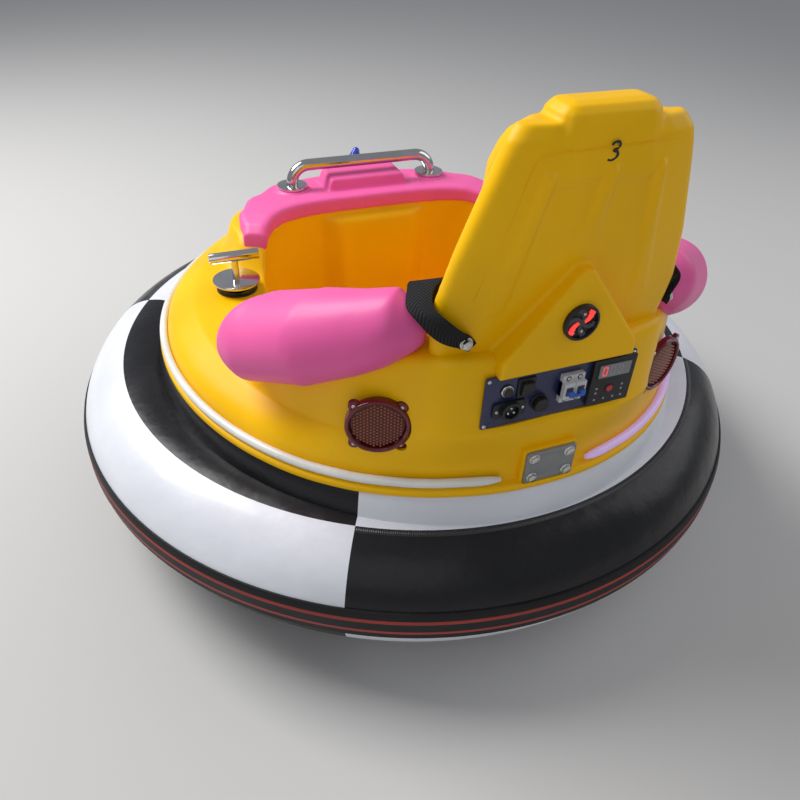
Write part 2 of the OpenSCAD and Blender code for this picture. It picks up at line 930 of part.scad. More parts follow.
module tyre(side) {
    depth = (wheel_d - hub_d) / 2;
    color(BLACK)
        on_side(side)
            translate([wheel_x, drive_y, axle_z])
                rotate([0, 90, 0])
                    rotate_extrude($fn = FINE)
                        polygon([
                            [hub_d / 2, -tyre_w / 2 + 4], [hub_d / 2 + depth * 0.5, -tyre_w / 2],
                            [hub_d / 2 + depth * 0.85, -tyre_w / 2 + 3],
                            [wheel_d / 2, -tyre_w / 2 + 12], [wheel_d / 2, tyre_w / 2 - 12],
                            [hub_d / 2 + depth * 0.85, tyre_w / 2 - 3],
                            [hub_d / 2 + depth * 0.5, tyre_w / 2], [hub_d / 2, tyre_w / 2 - 4]
                        ]);
}
module tyre_left() { tyre(-1); }
module tyre_right() { tyre(1); }

module hub(side) {
    rim = tyre_w - 8;
    boss_d = 40;
    color(STEEL)
        on_side(side)
            translate([wheel_x, drive_y, axle_z])
                rotate([0, 90, 0])
                    difference() {
                        union() {
                            translate([0, 0, -rim / 2])
                                cylinder(d = hub_d, h = rim, $fn = 64);
                            translate([0, 0, -rim / 2 - 14])
                                cylinder(d = boss_d, h = rim + 14, $fn = 48);
                        }
                        for (end = [-1, 1])
                            translate([0, 0, end * (rim / 2 + 5)])
                                difference() {
                                    cylinder(d = hub_d - 16, h = rim - 2, center = true, $fn = 64);
                                    cylinder(d = boss_d, h = rim, center = true, $fn = 48);
                                }
                        cylinder(d = axle_d + 0.2, h = 4 * rim, center = true, $fn = 48);
                    }
}
module hub_left() { hub(-1); }
module hub_right() { hub(1); }

// Swivel castors, their swivels ahead of and behind the driven wheels
castor_w = 24;
fork_t = 4;
castor_pin_d = 10;
module castor_fork(end) {
    top = frame_z - SEAT;
    color(STEEL)
        translate([0, end * castor_y, 0])
            union() {
                translate([0, 0, top - 14])
                    cylinder(d = 54, h = 14, $fn = 48);
                for (side = [-1, 1])
                    hull() {
                        translate([side * (castor_w / 2 + 6) - fork_t / 2, -castor_trail, castor_d / 2])
                            rotate([0, 90, 0])
                                cylinder(d = 22, h = fork_t, $fn = 32);
                        translate([side * (castor_w / 2 + 6) - fork_t / 2, -20, top - 12])
                            cube([fork_t, 40, 8]);
                    }
                translate([-castor_w / 2 - 10, -castor_trail, castor_d / 2])
                    rotate([0, 90, 0])
                        cylinder(d = castor_pin_d, h = castor_w + 20, $fn = 32);
            }
}
module castor_wheel(end) {
    color(BLACK)
        translate([-castor_w / 2, end * castor_y - castor_trail, castor_d / 2])
            rotate([0, 90, 0])
                difference() {
                    cylinder(d = castor_d, h = castor_w, $fn = 64);
                    translate([0, 0, -1])
                        cylinder(d = castor_pin_d + 0.2, h = castor_w + 2, $fn = 32);
                }
}
module castor_fork_front() { castor_fork(1); }
module castor_wheel_front() { castor_wheel(1); }
module castor_fork_rear() { castor_fork(-1); }
module castor_wheel_rear() { castor_wheel(-1); }

bumper_tube();
rub_strip();
body_shell();
cockpit_floor();
seat_bench();
seat_back();
armrest_left();
armrest_right();
dash_pad();
grab_rail();
rail_flanges();
front_lamp();
led_strip_left();
led_strip_right();
tail_lamp_left();
tail_lamp_right();
back_light();
control_panel();
charging_inlet();
panel_button();
rocker_switch();
panel_cap();
circuit_breaker();
timer_display();
rear_plate();
belt_left();
belt_right();
belt_bolts();
lever_mounts();
chassis_frame();
battery_block();
drive_motor_left();
drive_motor_right();
lever_left();
lever_right();
tyre_left();
tyre_right();
hub_left();
hub_right();
castor_fork_front();
castor_wheel_front();
castor_fork_rear();
castor_wheel_rear();
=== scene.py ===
import math

import bmesh
import bpy
from bpy.props import FloatProperty, FloatVectorProperty, IntProperty, PointerProperty
from mathutils import Matrix, Vector


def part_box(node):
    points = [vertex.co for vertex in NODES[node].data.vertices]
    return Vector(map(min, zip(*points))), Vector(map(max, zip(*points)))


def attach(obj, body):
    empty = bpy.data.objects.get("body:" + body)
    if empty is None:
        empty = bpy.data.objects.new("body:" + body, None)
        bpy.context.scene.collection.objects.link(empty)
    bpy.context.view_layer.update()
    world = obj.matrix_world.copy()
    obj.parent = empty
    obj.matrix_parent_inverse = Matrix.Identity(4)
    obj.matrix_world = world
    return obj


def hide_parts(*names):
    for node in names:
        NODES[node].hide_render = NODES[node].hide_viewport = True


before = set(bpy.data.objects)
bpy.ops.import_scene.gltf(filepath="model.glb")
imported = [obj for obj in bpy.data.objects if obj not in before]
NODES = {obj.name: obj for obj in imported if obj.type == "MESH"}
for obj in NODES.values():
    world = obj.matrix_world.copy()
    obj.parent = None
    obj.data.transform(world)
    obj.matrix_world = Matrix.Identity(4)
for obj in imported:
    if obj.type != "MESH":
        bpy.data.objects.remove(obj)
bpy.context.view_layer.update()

bl_info = {
    "name": "Bumper Car Finish",
    "version": (1, 0, 0),
    "blender": (4, 5, 0),
    "location": "View3D > Sidebar > Bumper Car",
    "description": "Dresses the packed bumper car with its detailed pieces and finishes",
    "category": "Object",
}

BODY = "car"
MM = 0.001

# The photograph's camera: place, viewing axes as right, up and back, and lens on 36 mm
CAMERA_AT = Vector((-0.5355, -1.2337, 1.1413))
CAMERA_AXES = (
    (0.92966, -0.36653, 0.03723),
    (0.19601, 0.57764, 0.79241),
    (-0.31195, -0.72937, 0.60885),
)
CAMERA_LENS = 32.615


def colour(name, text, default):
    """A colour that the user can change, in linear values."""
    return FloatVectorProperty(
        name=name, description=text, subtype="COLOR", size=3, min=0, max=1, default=default
    )


def length(name, text, default):
    """A length that the user can change."""
    return FloatProperty(
        name=name, description=text, default=default, min=0.0, max=2.0, unit="LENGTH", precision=4
    )


class CarColours(bpy.types.PropertyGroup):
    """Colours of the main finishes."""

    yellow: colour("Yellow", "Moulded body and seat back", (0.95, 0.52, 0.0))
    pink: colour("Pink", "Arm pads and dash pad", (0.88, 0.12, 0.38))
    ring_white: colour("Ring white", "White coated fabric", (0.74, 0.75, 0.80))
    ring_black: colour("Ring black", "Black coated fabric", (0.012, 0.012, 0.014))
    stripe: colour("Stripe", "Red lines on the rubbing strip", (0.38, 0.03, 0.02))
    navy: colour("Navy", "Equipment panel", (0.017, 0.024, 0.085))


class RingSizes(bpy.types.PropertyGroup):
    """Sizes of the inflated ring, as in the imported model."""

    strip_h: length("Strip height", "Height of the rubbing strip", 0.060)
    seam_r: length("Seam radius", "Radius of the seam on top of the tube", 0.585)
    first_seam: FloatProperty(
        name="First cross seam",
        description="Angle of the first seam between colour quarters, from the right",
        default=math.radians(60.3),
        subtype="ANGLE",
    )
    steps: IntProperty(name="Steps", description="Steps round the ring", default=180, min=48)


def make_piece(bm, name, looks, body=BODY, replaces=(), slot=None, sharp=30.0, recalc=True):
    """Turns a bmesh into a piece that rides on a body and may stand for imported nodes.

    looks names its finishes in the order of the faces' material numbers, and edges that turn
    by less than sharp degrees are shaded smooth."""
    if recalc:
        bmesh.ops.remove_doubles(bm, verts=bm.verts, dist=1e-6)
        bmesh.ops.recalc_face_normals(bm, faces=bm.faces)
    limit = math.radians(sharp)
    for face in bm.faces:
        face.smooth = True
    for edge in bm.edges:
        edge.smooth = len(edge.link_faces) != 2 or edge.calc_face_angle(0) < limit
    mesh = bpy.data.meshes.new(name)
    bm.to_mesh(mesh)
    bm.free()
    piece = bpy.data.objects.new(name, mesh)
    bpy.context.scene.collection.objects.link(piece)
    for look in looks:
        mesh.materials.append(FINISHES[look])
    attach(piece, body)
    if replaces:
        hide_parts(*replaces)
    return piece


def spin_profile(bm, points, steps, start=0.0, close=True):
    """Spins a profile of (radius, height) points right round the upright axis."""
    turn = Matrix.Rotation(start, 3, "Z")
    verts = [bm.verts.new(turn @ Vector((r, 0, z))) for r, z in points]
    edges = [bm.edges.new(pair) for pair in zip(verts, verts[1:] + (verts[:1] if close else []))]
    bmesh.ops.spin(
        bm,
        geom=verts + edges,
        cent=(0, 0, 0),
        axis=(0, 0, 1),
        angle=math.tau,
        steps=steps,
        use_merge=True,
    )


class Tree:
    """Short ways to build a material's nodes."""

    def __init__(self, tree):
        self.tree = tree

    def node(self, kind, **values):
        """Adds a node and sets its properties and its inputs by name."""
        node = self.tree.nodes.new(kind)
        for key, value in values.items():
            if hasattr(node, key):
                setattr(node, key, value)
            else:
                self.put(node.inputs[key.replace("_", " ")], value)
        return node

    def put(self, socket, value):
        """Links a socket to another, or sets its value."""
        if isinstance(value, bpy.types.NodeSocket):
            self.tree.links.new(value, socket)
        elif hasattr(socket, "default_value"):
            if hasattr(socket.default_value, "__len__") and len(value) == 3:
                value = (*value, 1.0) if len(socket.default_value) == 4 else value
            socket.default_value = value

    def math(self, operation, a, b=0.0, clamp=False):
        """The result of a sum on one or two values."""
        node = self.tree.nodes.new("ShaderNodeMath")
        node.operation = operation
        node.use_clamp = clamp
        self.put(node.inputs[0], a)
        self.put(node.inputs[1], b)
        return node.outputs[0]

    def mix(self, share, a, b):
        """A colour that goes from a to b as share goes from 0 to 1."""
        node = self.tree.nodes.new("ShaderNodeMix")
        node.data_type = "RGBA"
        self.put(node.inputs[0], share)
        self.put(node.inputs[6], a)
        self.put(node.inputs[7], b)
        return node.outputs[2]

    def span(self, value, low, high, to_low=0.0, to_high=1.0):
        """A value carried from one span to another, and held inside it."""
        node = self.tree.nodes.new("ShaderNodeMapRange")
        for k, v in enumerate((value, low, high, to_low, to_high)):
            self.put(node.inputs[k], v)
        return node.outputs[0]


def group(name, inputs, outputs):
    """A new shader node group, a builder for its nodes, its inputs and its outputs."""
    made = bpy.data.node_groups.new(name, "ShaderNodeTree")
    for title, kind, default in inputs:
        socket = made.interface.new_socket(title, in_out="INPUT", socket_type=kind)
        if default is not None:
            socket.default_value = default
    for title, kind in outputs:
        made.interface.new_socket(title, in_out="OUTPUT", socket_type=kind)
    tree = Tree(made)
    return made, tree, tree.node("NodeGroupInput").outputs, tree.node("NodeGroupOutput").inputs


NUMBER, VECTOR = "NodeSocketFloat", "NodeSocketVector"


def make_surface_group():
    """Grain, slow waviness, fine scratches and settled dust, shared by most finishes."""
    made, t, given, out = group(
        "Surface Detail",
        [
            ("Grain Scale", NUMBER, 400.0),
            ("Grain Depth", NUMBER, 0.1),
            ("Wave Scale", NUMBER, 8.0),
            ("Wave Depth", NUMBER, 0.2),
            ("Scratch", NUMBER, 0.3),
            ("Dust", NUMBER, 0.3),
        ],
        [("Tone", NUMBER), ("Scratches", NUMBER), ("Dust", NUMBER), ("Normal", VECTOR)],
    )
    place = t.node("ShaderNodeTexCoord").outputs["Object"]
    grain = t.node("ShaderNodeTexNoise", Vector=place, Scale=given["Grain Scale"], Detail=3.0)
    wave = t.node("ShaderNodeTexNoise", Vector=place, Scale=given["Wave Scale"], Detail=4.0)
    stretched = t.node("ShaderNodeMapping", Vector=place, Scale=(14.0, 90.0, 30.0),
                       Rotation=(0.4, 0.7, 0.5))
    lines = t.node("ShaderNodeTexNoise", Vector=stretched.outputs[0], Scale=1.6, Detail=6.0,
                   Distortion=0.6)
    off_line = t.math("ABSOLUTE", t.math("SUBTRACT", lines.outputs[0], 0.5))
    thin = t.span(off_line, 0.0, 0.006, 1.0, 0.0)
    patch = t.span(wave.outputs[0], 0.48, 0.62)
    scratches = t.math("MULTIPLY", t.math("MULTIPLY", thin, patch), given["Scratch"], clamp=True)
    up = t.node("ShaderNodeSeparateXYZ", Vector=t.node("ShaderNodeNewGeometry").outputs["Normal"])
    flat = t.span(up.outputs[2], 0.35, 0.95)
    specks = t.node("ShaderNodeTexNoise", Vector=place, Scale=60.0, Detail=6.0, Roughness=0.7)
    cloud = t.span(specks.outputs[0], 0.42, 0.75)
    slow = t.span(wave.outputs[0], 0.35, 0.7)
    dust = t.math("MULTIPLY", t.math("MULTIPLY", flat, cloud), slow)
    dust = t.math("MULTIPLY", dust, given["Dust"], clamp=True)
    fine = t.node("ShaderNodeBump", Height=grain.outputs[0], Strength=given["Grain Depth"],
                  Distance=0.0006)
    broad = t.node("ShaderNodeBump", Height=wave.outputs[0], Strength=given["Wave Depth"],
                   Distance=0.01, Normal=fine.outputs[0])
    cut = t.node("ShaderNodeBump", Height=scratches, Strength=0.15, Distance=0.0003, invert=True,
                 Normal=broad.outputs[0])
    t.put(out["Tone"], wave.outputs[0])
    t.put(out["Scratches"], scratches)
    t.put(out["Dust"], dust)
    t.put(out["Normal"], cut.outputs[0])
    return made


FINISHES = {}
DIRT = (0.32, 0.29, 0.25)
COAT_ROUGHNESS = 0.08


def new_finish(name):
    """A new finish by name: a builder for its nodes, and its shader."""
    material = bpy.data.materials.new(name)
    material.use_nodes = True
    FINISHES[name] = material
    return Tree(material.node_tree), material.node_tree.nodes["Principled BSDF"]


def finish(
    name, base, rough, metal=0.0, coat=0.0, grain=(400.0, 0.1), wave=(8.0, 0.1), scratch=0.3,
    dust=0.25, tone=0.12, **sockets,
):
    """A finish built on the shared surface detail: tone drift, scratches, dust and grain.

    grain and wave are each a scale and a depth, and further names set the shader's sockets."""
    t, shader = new_finish(name)
    detail = t.node("ShaderNodeGroup", node_tree=bpy.data.node_groups["Surface Detail"])
    for title, value in (
        ("Grain Scale", grain[0]), ("Grain Depth", grain[1]), ("Wave Scale", wave[0]),
        ("Wave Depth", wave[1]), ("Scratch", scratch), ("Dust", dust),
    ):
        detail.inputs[title].default_value = value
    dark = tuple(c * (1 - tone) for c in base)
    light = tuple(min(1.0, c * (1 + tone * 0.6) + tone * 0.01) for c in base)
    drift = t.mix(t.span(detail.outputs["Tone"], 0.35, 0.65), dark, light)
    worn = t.mix(detail.outputs["Scratches"], drift, tuple(c * 0.88 + 0.05 for c in base))
    t.put(shader.inputs["Base Color"], t.mix(detail.outputs["Dust"], worn, DIRT))
    gloss = t.span(detail.outputs["Tone"], 0.3, 0.7, rough * 0.88, rough * 1.14)
    gloss = t.math("ADD", gloss, t.math("MULTIPLY", detail.outputs["Dust"], 0.35))
    gloss = t.math("ADD", gloss, t.math("MULTIPLY", detail.outputs["Scratches"], 0.2), clamp=True)
    t.put(shader.inputs["Roughness"], gloss)
    t.put(shader.inputs["Normal"], detail.outputs["Normal"])
    shader.inputs["Metallic"].default_value = metal
    shader.inputs["Coat Weight"].default_value = coat
    shader.inputs["Coat Roughness"].default_value = COAT_ROUGHNESS
    for title, value in sockets.items():
        t.put(shader.inputs[title.replace("_", " ")], value)


def settings():
    """The user's colours and sizes."""
    return bpy.context.scene.bumper_car


def make_finishes():
    """Makes the finishes of the main pieces."""
    make_surface_group()
    tint = settings().colours
    finish("yellow_moulding", tuple(tint.yellow), 0.38, grain=(900, 0.12), wave=(5, 0.12),
           dust=0.03, tone=0.06, scratch=0.2, Specular_IOR_Level=0.2)
    finish("pink_pad", tuple(tint.pink), 0.46, coat=0.05, grain=(1100, 0.2), wave=(6, 0.15),
           dust=0.06, tone=0.06, Specular_IOR_Level=0.35)
    finish("ring_white", tuple(tint.ring_white), 0.36, coat=0.15, grain=(1500, 0.15), wave=(7, 0.5),
           dust=0.12, tone=0.05)
    finish("ring_black", tuple(tint.ring_black), 0.26, grain=(1500, 0.15), wave=(7, 0.6),
           dust=0.03, scratch=0.08, Specular_IOR_Level=0.25)
    finish("strip_rubber", (0.01, 0.01, 0.011), 0.5, grain=(700, 0.4), scratch=0.2, dust=0.04,
           Specular_IOR_Level=0.25)
    finish("stripe_red", tuple(tint.stripe), 0.5, grain=(700, 0.3), dust=0.05)
    finish("chrome", (0.62, 0.61, 0.6), 0.13, metal=1.0, grain=(300, 0.02), scratch=0.2, dust=0.03)
    finish("black_plastic", (0.012, 0.012, 0.014), 0.42, grain=(1300, 0.4), dust=0.08, scratch=0.2)
    finish("grey_plastic", (0.06, 0.06, 0.065), 0.45, grain=(1300, 0.4), dust=0.08, scratch=0.2)
    finish("navy_panel", tuple(tint.navy), 0.33, coat=0.2, grain=(1200, 0.25), dust=0.06)
    finish("white_plastic", (0.6, 0.61, 0.62), 0.4, grain=(1300, 0.2), dust=0.15)
    finish("blue_plastic", (0.03, 0.12, 0.5), 0.35, grain=(1300, 0.2), dust=0.06)
    finish("window_grey", (0.2, 0.2, 0.21), 0.12, coat=0.4, grain=(900, 0.02), scratch=0.2)
    finish("icon_grey", (0.3, 0.31, 0.33), 0.4, grain=(1300, 0.2))
    finish("lamp_red", (0.7, 0.03, 0.03), 0.3, grain=(900, 0.05), dust=0.0,
           Emission_Color=(1.0, 0.06, 0.05), Emission_Strength=0.9)
    finish("button_red", (0.55, 0.02, 0.02), 0.3, coat=0.2, grain=(900, 0.05), dust=0.03)
    finish("marker_black", (0.015, 0.014, 0.02), 0.55, grain=(800, 0.3), dust=0.0)
    finish("plate_steel", (0.3, 0.31, 0.31), 0.5, metal=0.5, grain=(500, 0.3), scratch=0.7)
    finish("black_steel", (0.03, 0.03, 0.033), 0.38, coat=0.15, grain=(260, 0.4), scratch=0.5)
    finish("battery_case", (0.03, 0.03, 0.035), 0.5, grain=(900, 0.4))
    finish("motor_paint", (0.10, 0.105, 0.11), 0.45, grain=(350, 0.5), scratch=0.6)
    finish("tyre_rubber", (0.022, 0.021, 0.02), 0.75, grain=(900, 0.5), dust=0.4)
    finish("hub_alloy", (0.42, 0.43, 0.44), 0.4, metal=0.9, grain=(500, 0.5))
    finish("zinc_steel", (0.72, 0.72, 0.7), 0.28, metal=1.0, grain=(220, 0.3), dust=0.1)
    finish("castor_tread", (0.05, 0.05, 0.055), 0.6, grain=(900, 0.4), dust=0.4)
    finish("red_lens", (0.06, 0.003, 0.003), 0.2, grain=(500, 0.05), dust=0.03)
    finish("lens_cell", (0.3, 0.075, 0.03), 0.22, coat=0.3, grain=(500, 0.05), dust=0.03)
    finish("red_rim", (0.14, 0.004, 0.008), 0.2, coat=0.3, grain=(500, 0.1), dust=0.02)
    finish("blue_lens", (0.012, 0.05, 0.5), 0.14, coat=0.5, grain=(500, 0.05), dust=0.03)
    finish("strip_white", (0.78, 0.79, 0.74), 0.28, coat=0.2, grain=(600, 0.1), dust=0.1)
    finish("strip_violet", (0.62, 0.5, 0.8), 0.3, grain=(600, 0.1), dust=0.03,
           Emission_Color=(0.8, 0.45, 1.0), Emission_Strength=0.2)
    make_webbing()
    make_weld()


# Radians of wave for each metre of strap or weld strip
RIB_TURNS, PICK_TURNS, WELD_TURNS = 1100.0, 5200.0, 1900.0


def make_webbing():
    """Black webbing: chevron ribs and cross threads that follow the strap, with painted shade in
    the weave's hollows.
    """
    t, shader = new_finish("webbing")
    coords = t.node("ShaderNodeTexCoord").outputs
    across, along, _ = t.node("ShaderNodeSeparateXYZ", Vector=coords["UV"]).outputs
    slant = t.math("ADD", t.math("ABSOLUTE", across), along)
    rib = t.math("SINE", t.math("MULTIPLY", slant, RIB_TURNS))
    pick = t.math("SINE", t.math("MULTIPLY", along, PICK_TURNS))
    weave = t.math("ADD", rib, t.math("MULTIPLY", pick, 0.35))
    fuzz = t.node("ShaderNodeTexNoise", Vector=coords["Object"], Scale=900.0, Detail=3.0)
    # Painted shade: the colour darkens in the weave's hollows and is lightest on the ribs' crests,
    # with a random fuzz over it.
    shade = t.span(weave, -1.2, 1.2, 0.25, 1.0)
    shade = t.math("MULTIPLY", shade, t.span(fuzz.outputs[0], 0.3, 0.7, 0.7, 1.15))
    t.put(shader.inputs["Base Color"], t.mix(shade, (0.002, 0.002, 0.002), (0.035, 0.035, 0.038)))
    t.put(shader.inputs["Roughness"], t.span(weave, -1.0, 1.0, 0.85, 0.6))
    bump = t.node("ShaderNodeBump", Height=weave, Strength=0.8, Distance=0.0009)
    t.put(shader.inputs["Normal"], bump.outputs[0])
    shader.inputs["Specular IOR Level"].default_value = 0.2


def make_weld():
    """The weld strips on the ring, with fine ribs across them."""
    t, shader = new_finish("ring_weld")
    coords = t.node("ShaderNodeTexCoord").outputs
    along = t.node("ShaderNodeSeparateXYZ", Vector=coords["UV"]).outputs[1]
    rib = t.math("SINE", t.math("MULTIPLY", along, WELD_TURNS))
    fuzz = t.node("ShaderNodeTexNoise", Vector=coords["Object"], Scale=60.0, Detail=4.0)
    tone = t.mix(fuzz.outputs[0], (0.008, 0.008, 0.009), (0.02, 0.02, 0.023))
    t.put(shader.inputs["Base Color"], tone)
    t.put(shader.inputs["Roughness"], t.span(fuzz.outputs[0], 0.3, 0.7, 0.24, 0.4))
    bump = t.node("ShaderNodeBump", Height=rib, Strength=0.35, Distance=0.0008)
    t.put(shader.inputs["Normal"], bump.outputs[0])


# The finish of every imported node
NODE_FINISH = {
    "bumper_tube": "ring_white", "rub_strip": "strip_rubber", "body_shell": "yellow_moulding",
    "cockpit_floor": "yellow_moulding", "seat_bench": "yellow_moulding",
    "seat_back": "yellow_moulding", "armrest_left": "pink_pad", "armrest_right": "pink_pad",
    "dash_pad": "pink_pad", "grab_rail": "chrome", "rail_flanges": "chrome",
    "front_lamp": "blue_lens", "led_strip_left": "strip_white",
    "led_strip_right": "strip_violet", "tail_lamp_left": "red_lens",
    "tail_lamp_right": "red_lens", "back_light": "black_plastic", "control_panel": "navy_panel",
    "charging_inlet": "black_plastic", "panel_button": "black_plastic",
    "rocker_switch": "black_plastic", "panel_cap": "black_plastic",
    "circuit_breaker": "white_plastic", "timer_display": "black_plastic",
    "rear_plate": "plate_steel", "belt_left": "webbing", "belt_right": "webbing",
    "belt_bolts": "zinc_steel", "lever_mounts": "black_plastic", "chassis_frame": "black_steel",
    "battery_block": "battery_case", "drive_motor_left": "motor_paint",
    "drive_motor_right": "motor_paint", "lever_left": "chrome", "lever_right": "chrome",
    "tyre_left": "tyre_rubber", "tyre_right": "tyre_rubber", "hub_left": "hub_alloy",
    "hub_right": "hub_alloy", "castor_fork_front": "zinc_steel",
    "castor_wheel_front": "castor_tread", "castor_fork_rear": "zinc_steel",
    "castor_wheel_rear": "castor_tread",
}


def dress_nodes():
    """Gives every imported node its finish."""
    for name, node in NODES.items():
        node.data.materials.clear()
        node.data.materials.append(FINISHES[NODE_FINISH[name]])


# The stage, in metres
FLOOR_HALF = 30.0
FLOOR_COLOUR = (0.56, 0.55, 0.53, 1)
SKY_COLOUR, SKY_STRENGTH = (0.86, 0.9, 1.0, 1), 0.34
LAMPS_AIM = Vector((0, 0, 0.4))
# Name, place, size and power of the studio lamps
LAMPS = (
    ("key_light", (-2.2, 1.6, 3.3), 2.2, 175.0),
    ("fill_light", (-1.8, -3.0, 2.4), 3.0, 16.0),
    ("side_light", (3.0, -0.6, 2.2), 2.4, 24.0),
)


def make_stage():
    """Camera, floor, sky and lamps."""
    scene = bpy.context.scene
    lens = bpy.data.cameras.new("photo_camera")
    lens.sensor_width = 36.0
    lens.lens = CAMERA_LENS
    camera = bpy.data.objects.new("photo_camera", lens)
    scene.collection.objects.link(camera)
    turn = Matrix(CAMERA_AXES).transposed().to_4x4()
    camera.matrix_world = Matrix.Translation(CAMERA_AT) @ turn
    scene.camera = camera

    bm = bmesh.new()
    bmesh.ops.create_grid(bm, x_segments=2, y_segments=2, size=FLOOR_HALF)
    mesh = bpy.data.meshes.new("floor")
    bm.to_mesh(mesh)
    bm.free()
    floor = bpy.data.objects.new("floor", mesh)
    scene.collection.objects.link(floor)
    coat = bpy.data.materials.new("floor_paint")
    coat.use_nodes = True
    shader = coat.node_tree.nodes["Principled BSDF"]
    shader.inputs["Base Color"].default_value = FLOOR_COLOUR
    shader.inputs["Roughness"].default_value = 0.85
    mesh.materials.append(coat)

    world = bpy.data.worlds.new("studio")
    scene.world = world
    world.use_nodes = True
    sky = world.node_tree.nodes["Background"].inputs
    sky["Color"].default_value = SKY_COLOUR
    sky["Strength"].default_value = SKY_STRENGTH
    for name, place, size, power in LAMPS:
        lamp = bpy.data.lights.new(name, "AREA")
        lamp.size = size
        lamp.energy = power
        thing = bpy.data.objects.new(name, lamp)
        scene.collection.objects.link(thing)
        thing.location = place
        aim = LAMPS_AIM - Vector(place)
        thing.rotation_euler = aim.to_track_quat("-Z", "Y").to_euler()
    scene.view_settings.view_transform = "Standard"


# Flat height kept clear above and below the rubbing strip, and degrees to a step of the tube
RING_BARE, TUBE_STEP = 0.006, 6


def make_ring():
    """The inflated ring: welded colour quarters on one round tube."""
    sizes = settings().ring
    low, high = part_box("bumper_tube")
    outer = high.x
    tube = (high.z - low.z) / 2
    centre_r, centre_z = outer - tube, (high.z + low.z) / 2
    top_seam = math.acos((sizes.seam_r - centre_r) / tube)
    band = math.asin((sizes.strip_h / 2 + RING_BARE) / tube)
    marks = [band, top_seam, math.pi, math.tau - band, math.tau + band]
    angles = []
    for first, last in zip(marks, marks[1:]):
        count = max(3, round((last - first) / math.radians(TUBE_STEP)))
        angles += [first + (last - first) * k / count for k in range(count)]
    bm = bmesh.new()
    spin_profile(
        bm,
        [(centre_r + tube * math.cos(a), centre_z + tube * math.sin(a)) for a in angles],
        sizes.steps,
        start=sizes.first_seam,
    )
    for face in bm.faces:
        middle = face.calc_center_median()
        odd = quarter(middle, sizes.first_seam)
        over = middle.z > centre_z and middle.xy.length >= sizes.seam_r
        face.material_index = 1 - odd if over else odd
    make_piece(bm, "inflated_ring", ["ring_white", "ring_black"], sharp=40,
               replaces=["bumper_tube"], slot="ring_pvc")


def quarter(point, first):
    """0 or 1 by turns from quarter to quarter round the ring, counted from the first seam."""
    turn = (math.atan2(point.y, point.x) - first) % math.tau
    return int(turn / (math.pi / 2)) % 2


def collar_path(a):
    """The coated fabric drawn up under the body's lip, from the lip down to the tube."""
    lip, led = body_r(a) + LIP_OUT, LED_Z + eased(FLANK, from_front(a), 7)
    foot = lip + 9
    low = tube_below(a, foot) - 1.5
    top = led - 22
    return [(lip - 9, top)] + [
        (lip + out, lerp(top, low, share))
        for out, share in ((-4, 0.02), (-1.5, 0.1), (2, 0.3), (5, 0.55), (7.5, 0.8), (9, 1.0))
    ]


def make_collar():
    """The ring's inner edge, drawn up under the body's lip, in the quarters' colours."""
    bm = spun_grid(settings().ring.steps, 7, lambda a, k: on_azimuth(a, *collar_path(a)[k]))
    first = settings().ring.first_seam
    for turn in (first, first + math.pi / 2):
        bmesh.ops.bisect_plane(bm, geom=bm.verts[:] + bm.edges[:] + bm.faces[:], dist=1e-6,
                               plane_co=(0, 0, 0), plane_no=(-math.sin(turn), math.cos(turn), 0))
    for face in bm.faces:
        face.material_index = quarter(face.calc_center_median(), first)
    bmesh.ops.solidify(bm, geom=bm.faces[:], thickness=2 * MM)
    make_piece(bm, "ring_collar", ["ring_white", "ring_black"], slot="ring_pvc", sharp=60)


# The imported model's own measures, in millimetres
BODY_Y, REAR_Y, SEAT_REAR_Y = -20.0, -557.0, -532.0
BODY_HALF, BODY_AHEAD, BODY_BEHIND = 500.0, 532.0, 545.0
WELL_HALF, WELL_AHEAD, WELL_BEHIND, WELL_POWER = 285.0, 238.0, 423.0, 3.6
DECK_Z, HOUSING_TOP, SEAT_TOP = 425.0, 605.0, 907.0
FRONT_RISE, PAD_T, HUMP_TILT = 78.0, 26.0, math.radians(4.5)
LED_Z, LED_D, LED_OUT = 372.0, 15.0, -8.0
TUBE_R, TUBE_MID_R, TUBE_Z = 121.5, 554.5, 190.0
LIP_OUT, WELL_FOOT_Z = 9.0, 158.0
SIDES = ((1, "right"), (-1, "left"))
LEVER_X, LEVER_Y = 342.0, 70.0
RAIL_Y, FLANGE_X = 297.0, 164.0
TAIL_LAMP_Z, TAIL_LAMP_TURN, TAIL_LAMP_TOE = 477.0, math.radians(-61.8), math.radians(7)
EAR_R = 48.0
PANEL_Z, PLATE_Z, PLATE_BOLT_X, PLATE_BOLT_Z = 535.0, 404.0, 30.0, 18.0
GABLE_LIGHT_Z, DIGIT_Z = 654.0, 872.0
# Angle from the front in degrees, then in millimetres how far the shelf goes in and up, how far
# in the top starts, the deck's rise, the flank's swell and belly, and the light strip's lift
FLANK = (
    (0, 26, 40.5, 70, 78, 0, 0, 0), (30, 28, 40.5, 84, 78, 0, 0, 0),
    (45, 40, 40.5, 78, 78, 0, 0, 0), (50, 46, 40.5, 90, 75, 0, 0, 0),
    (58, 48, 40.5, 127, 64, 0, 0, 0), (63, 48, 40.5, 134, 24, 0, 0, 0),
    (67.4, 48, 40.5, 134, 0, 0, 0, 0), (104, 48, 40.5, 84, 0, 0, 0, 0),
    (124, 34, 40.5, 58, 42, 0, 0, 0), (138, 22, 48.5, 36, 82, 0, 0, 0),
    (147, 8, 64.5, 15, 138, 0, 0, 2.8), (157, 5, 94.5, 10, 170, 0, 0, 7),
    (160, 1, 100.5, 6, 180, 20, 0, 8.4), (166, 1, 102.5, 6, 180, 15, 5, 11.2),
    (180, 1, 102.5, 6, 180, 0, 6, 14),
)


def lerp(a, b, t):
    """The value a share t of the way from a to b."""
    return a + (b - a) * t


def clamp(t):
    """A share held between 0 and 1."""
    return min(1.0, max(0.0, t))


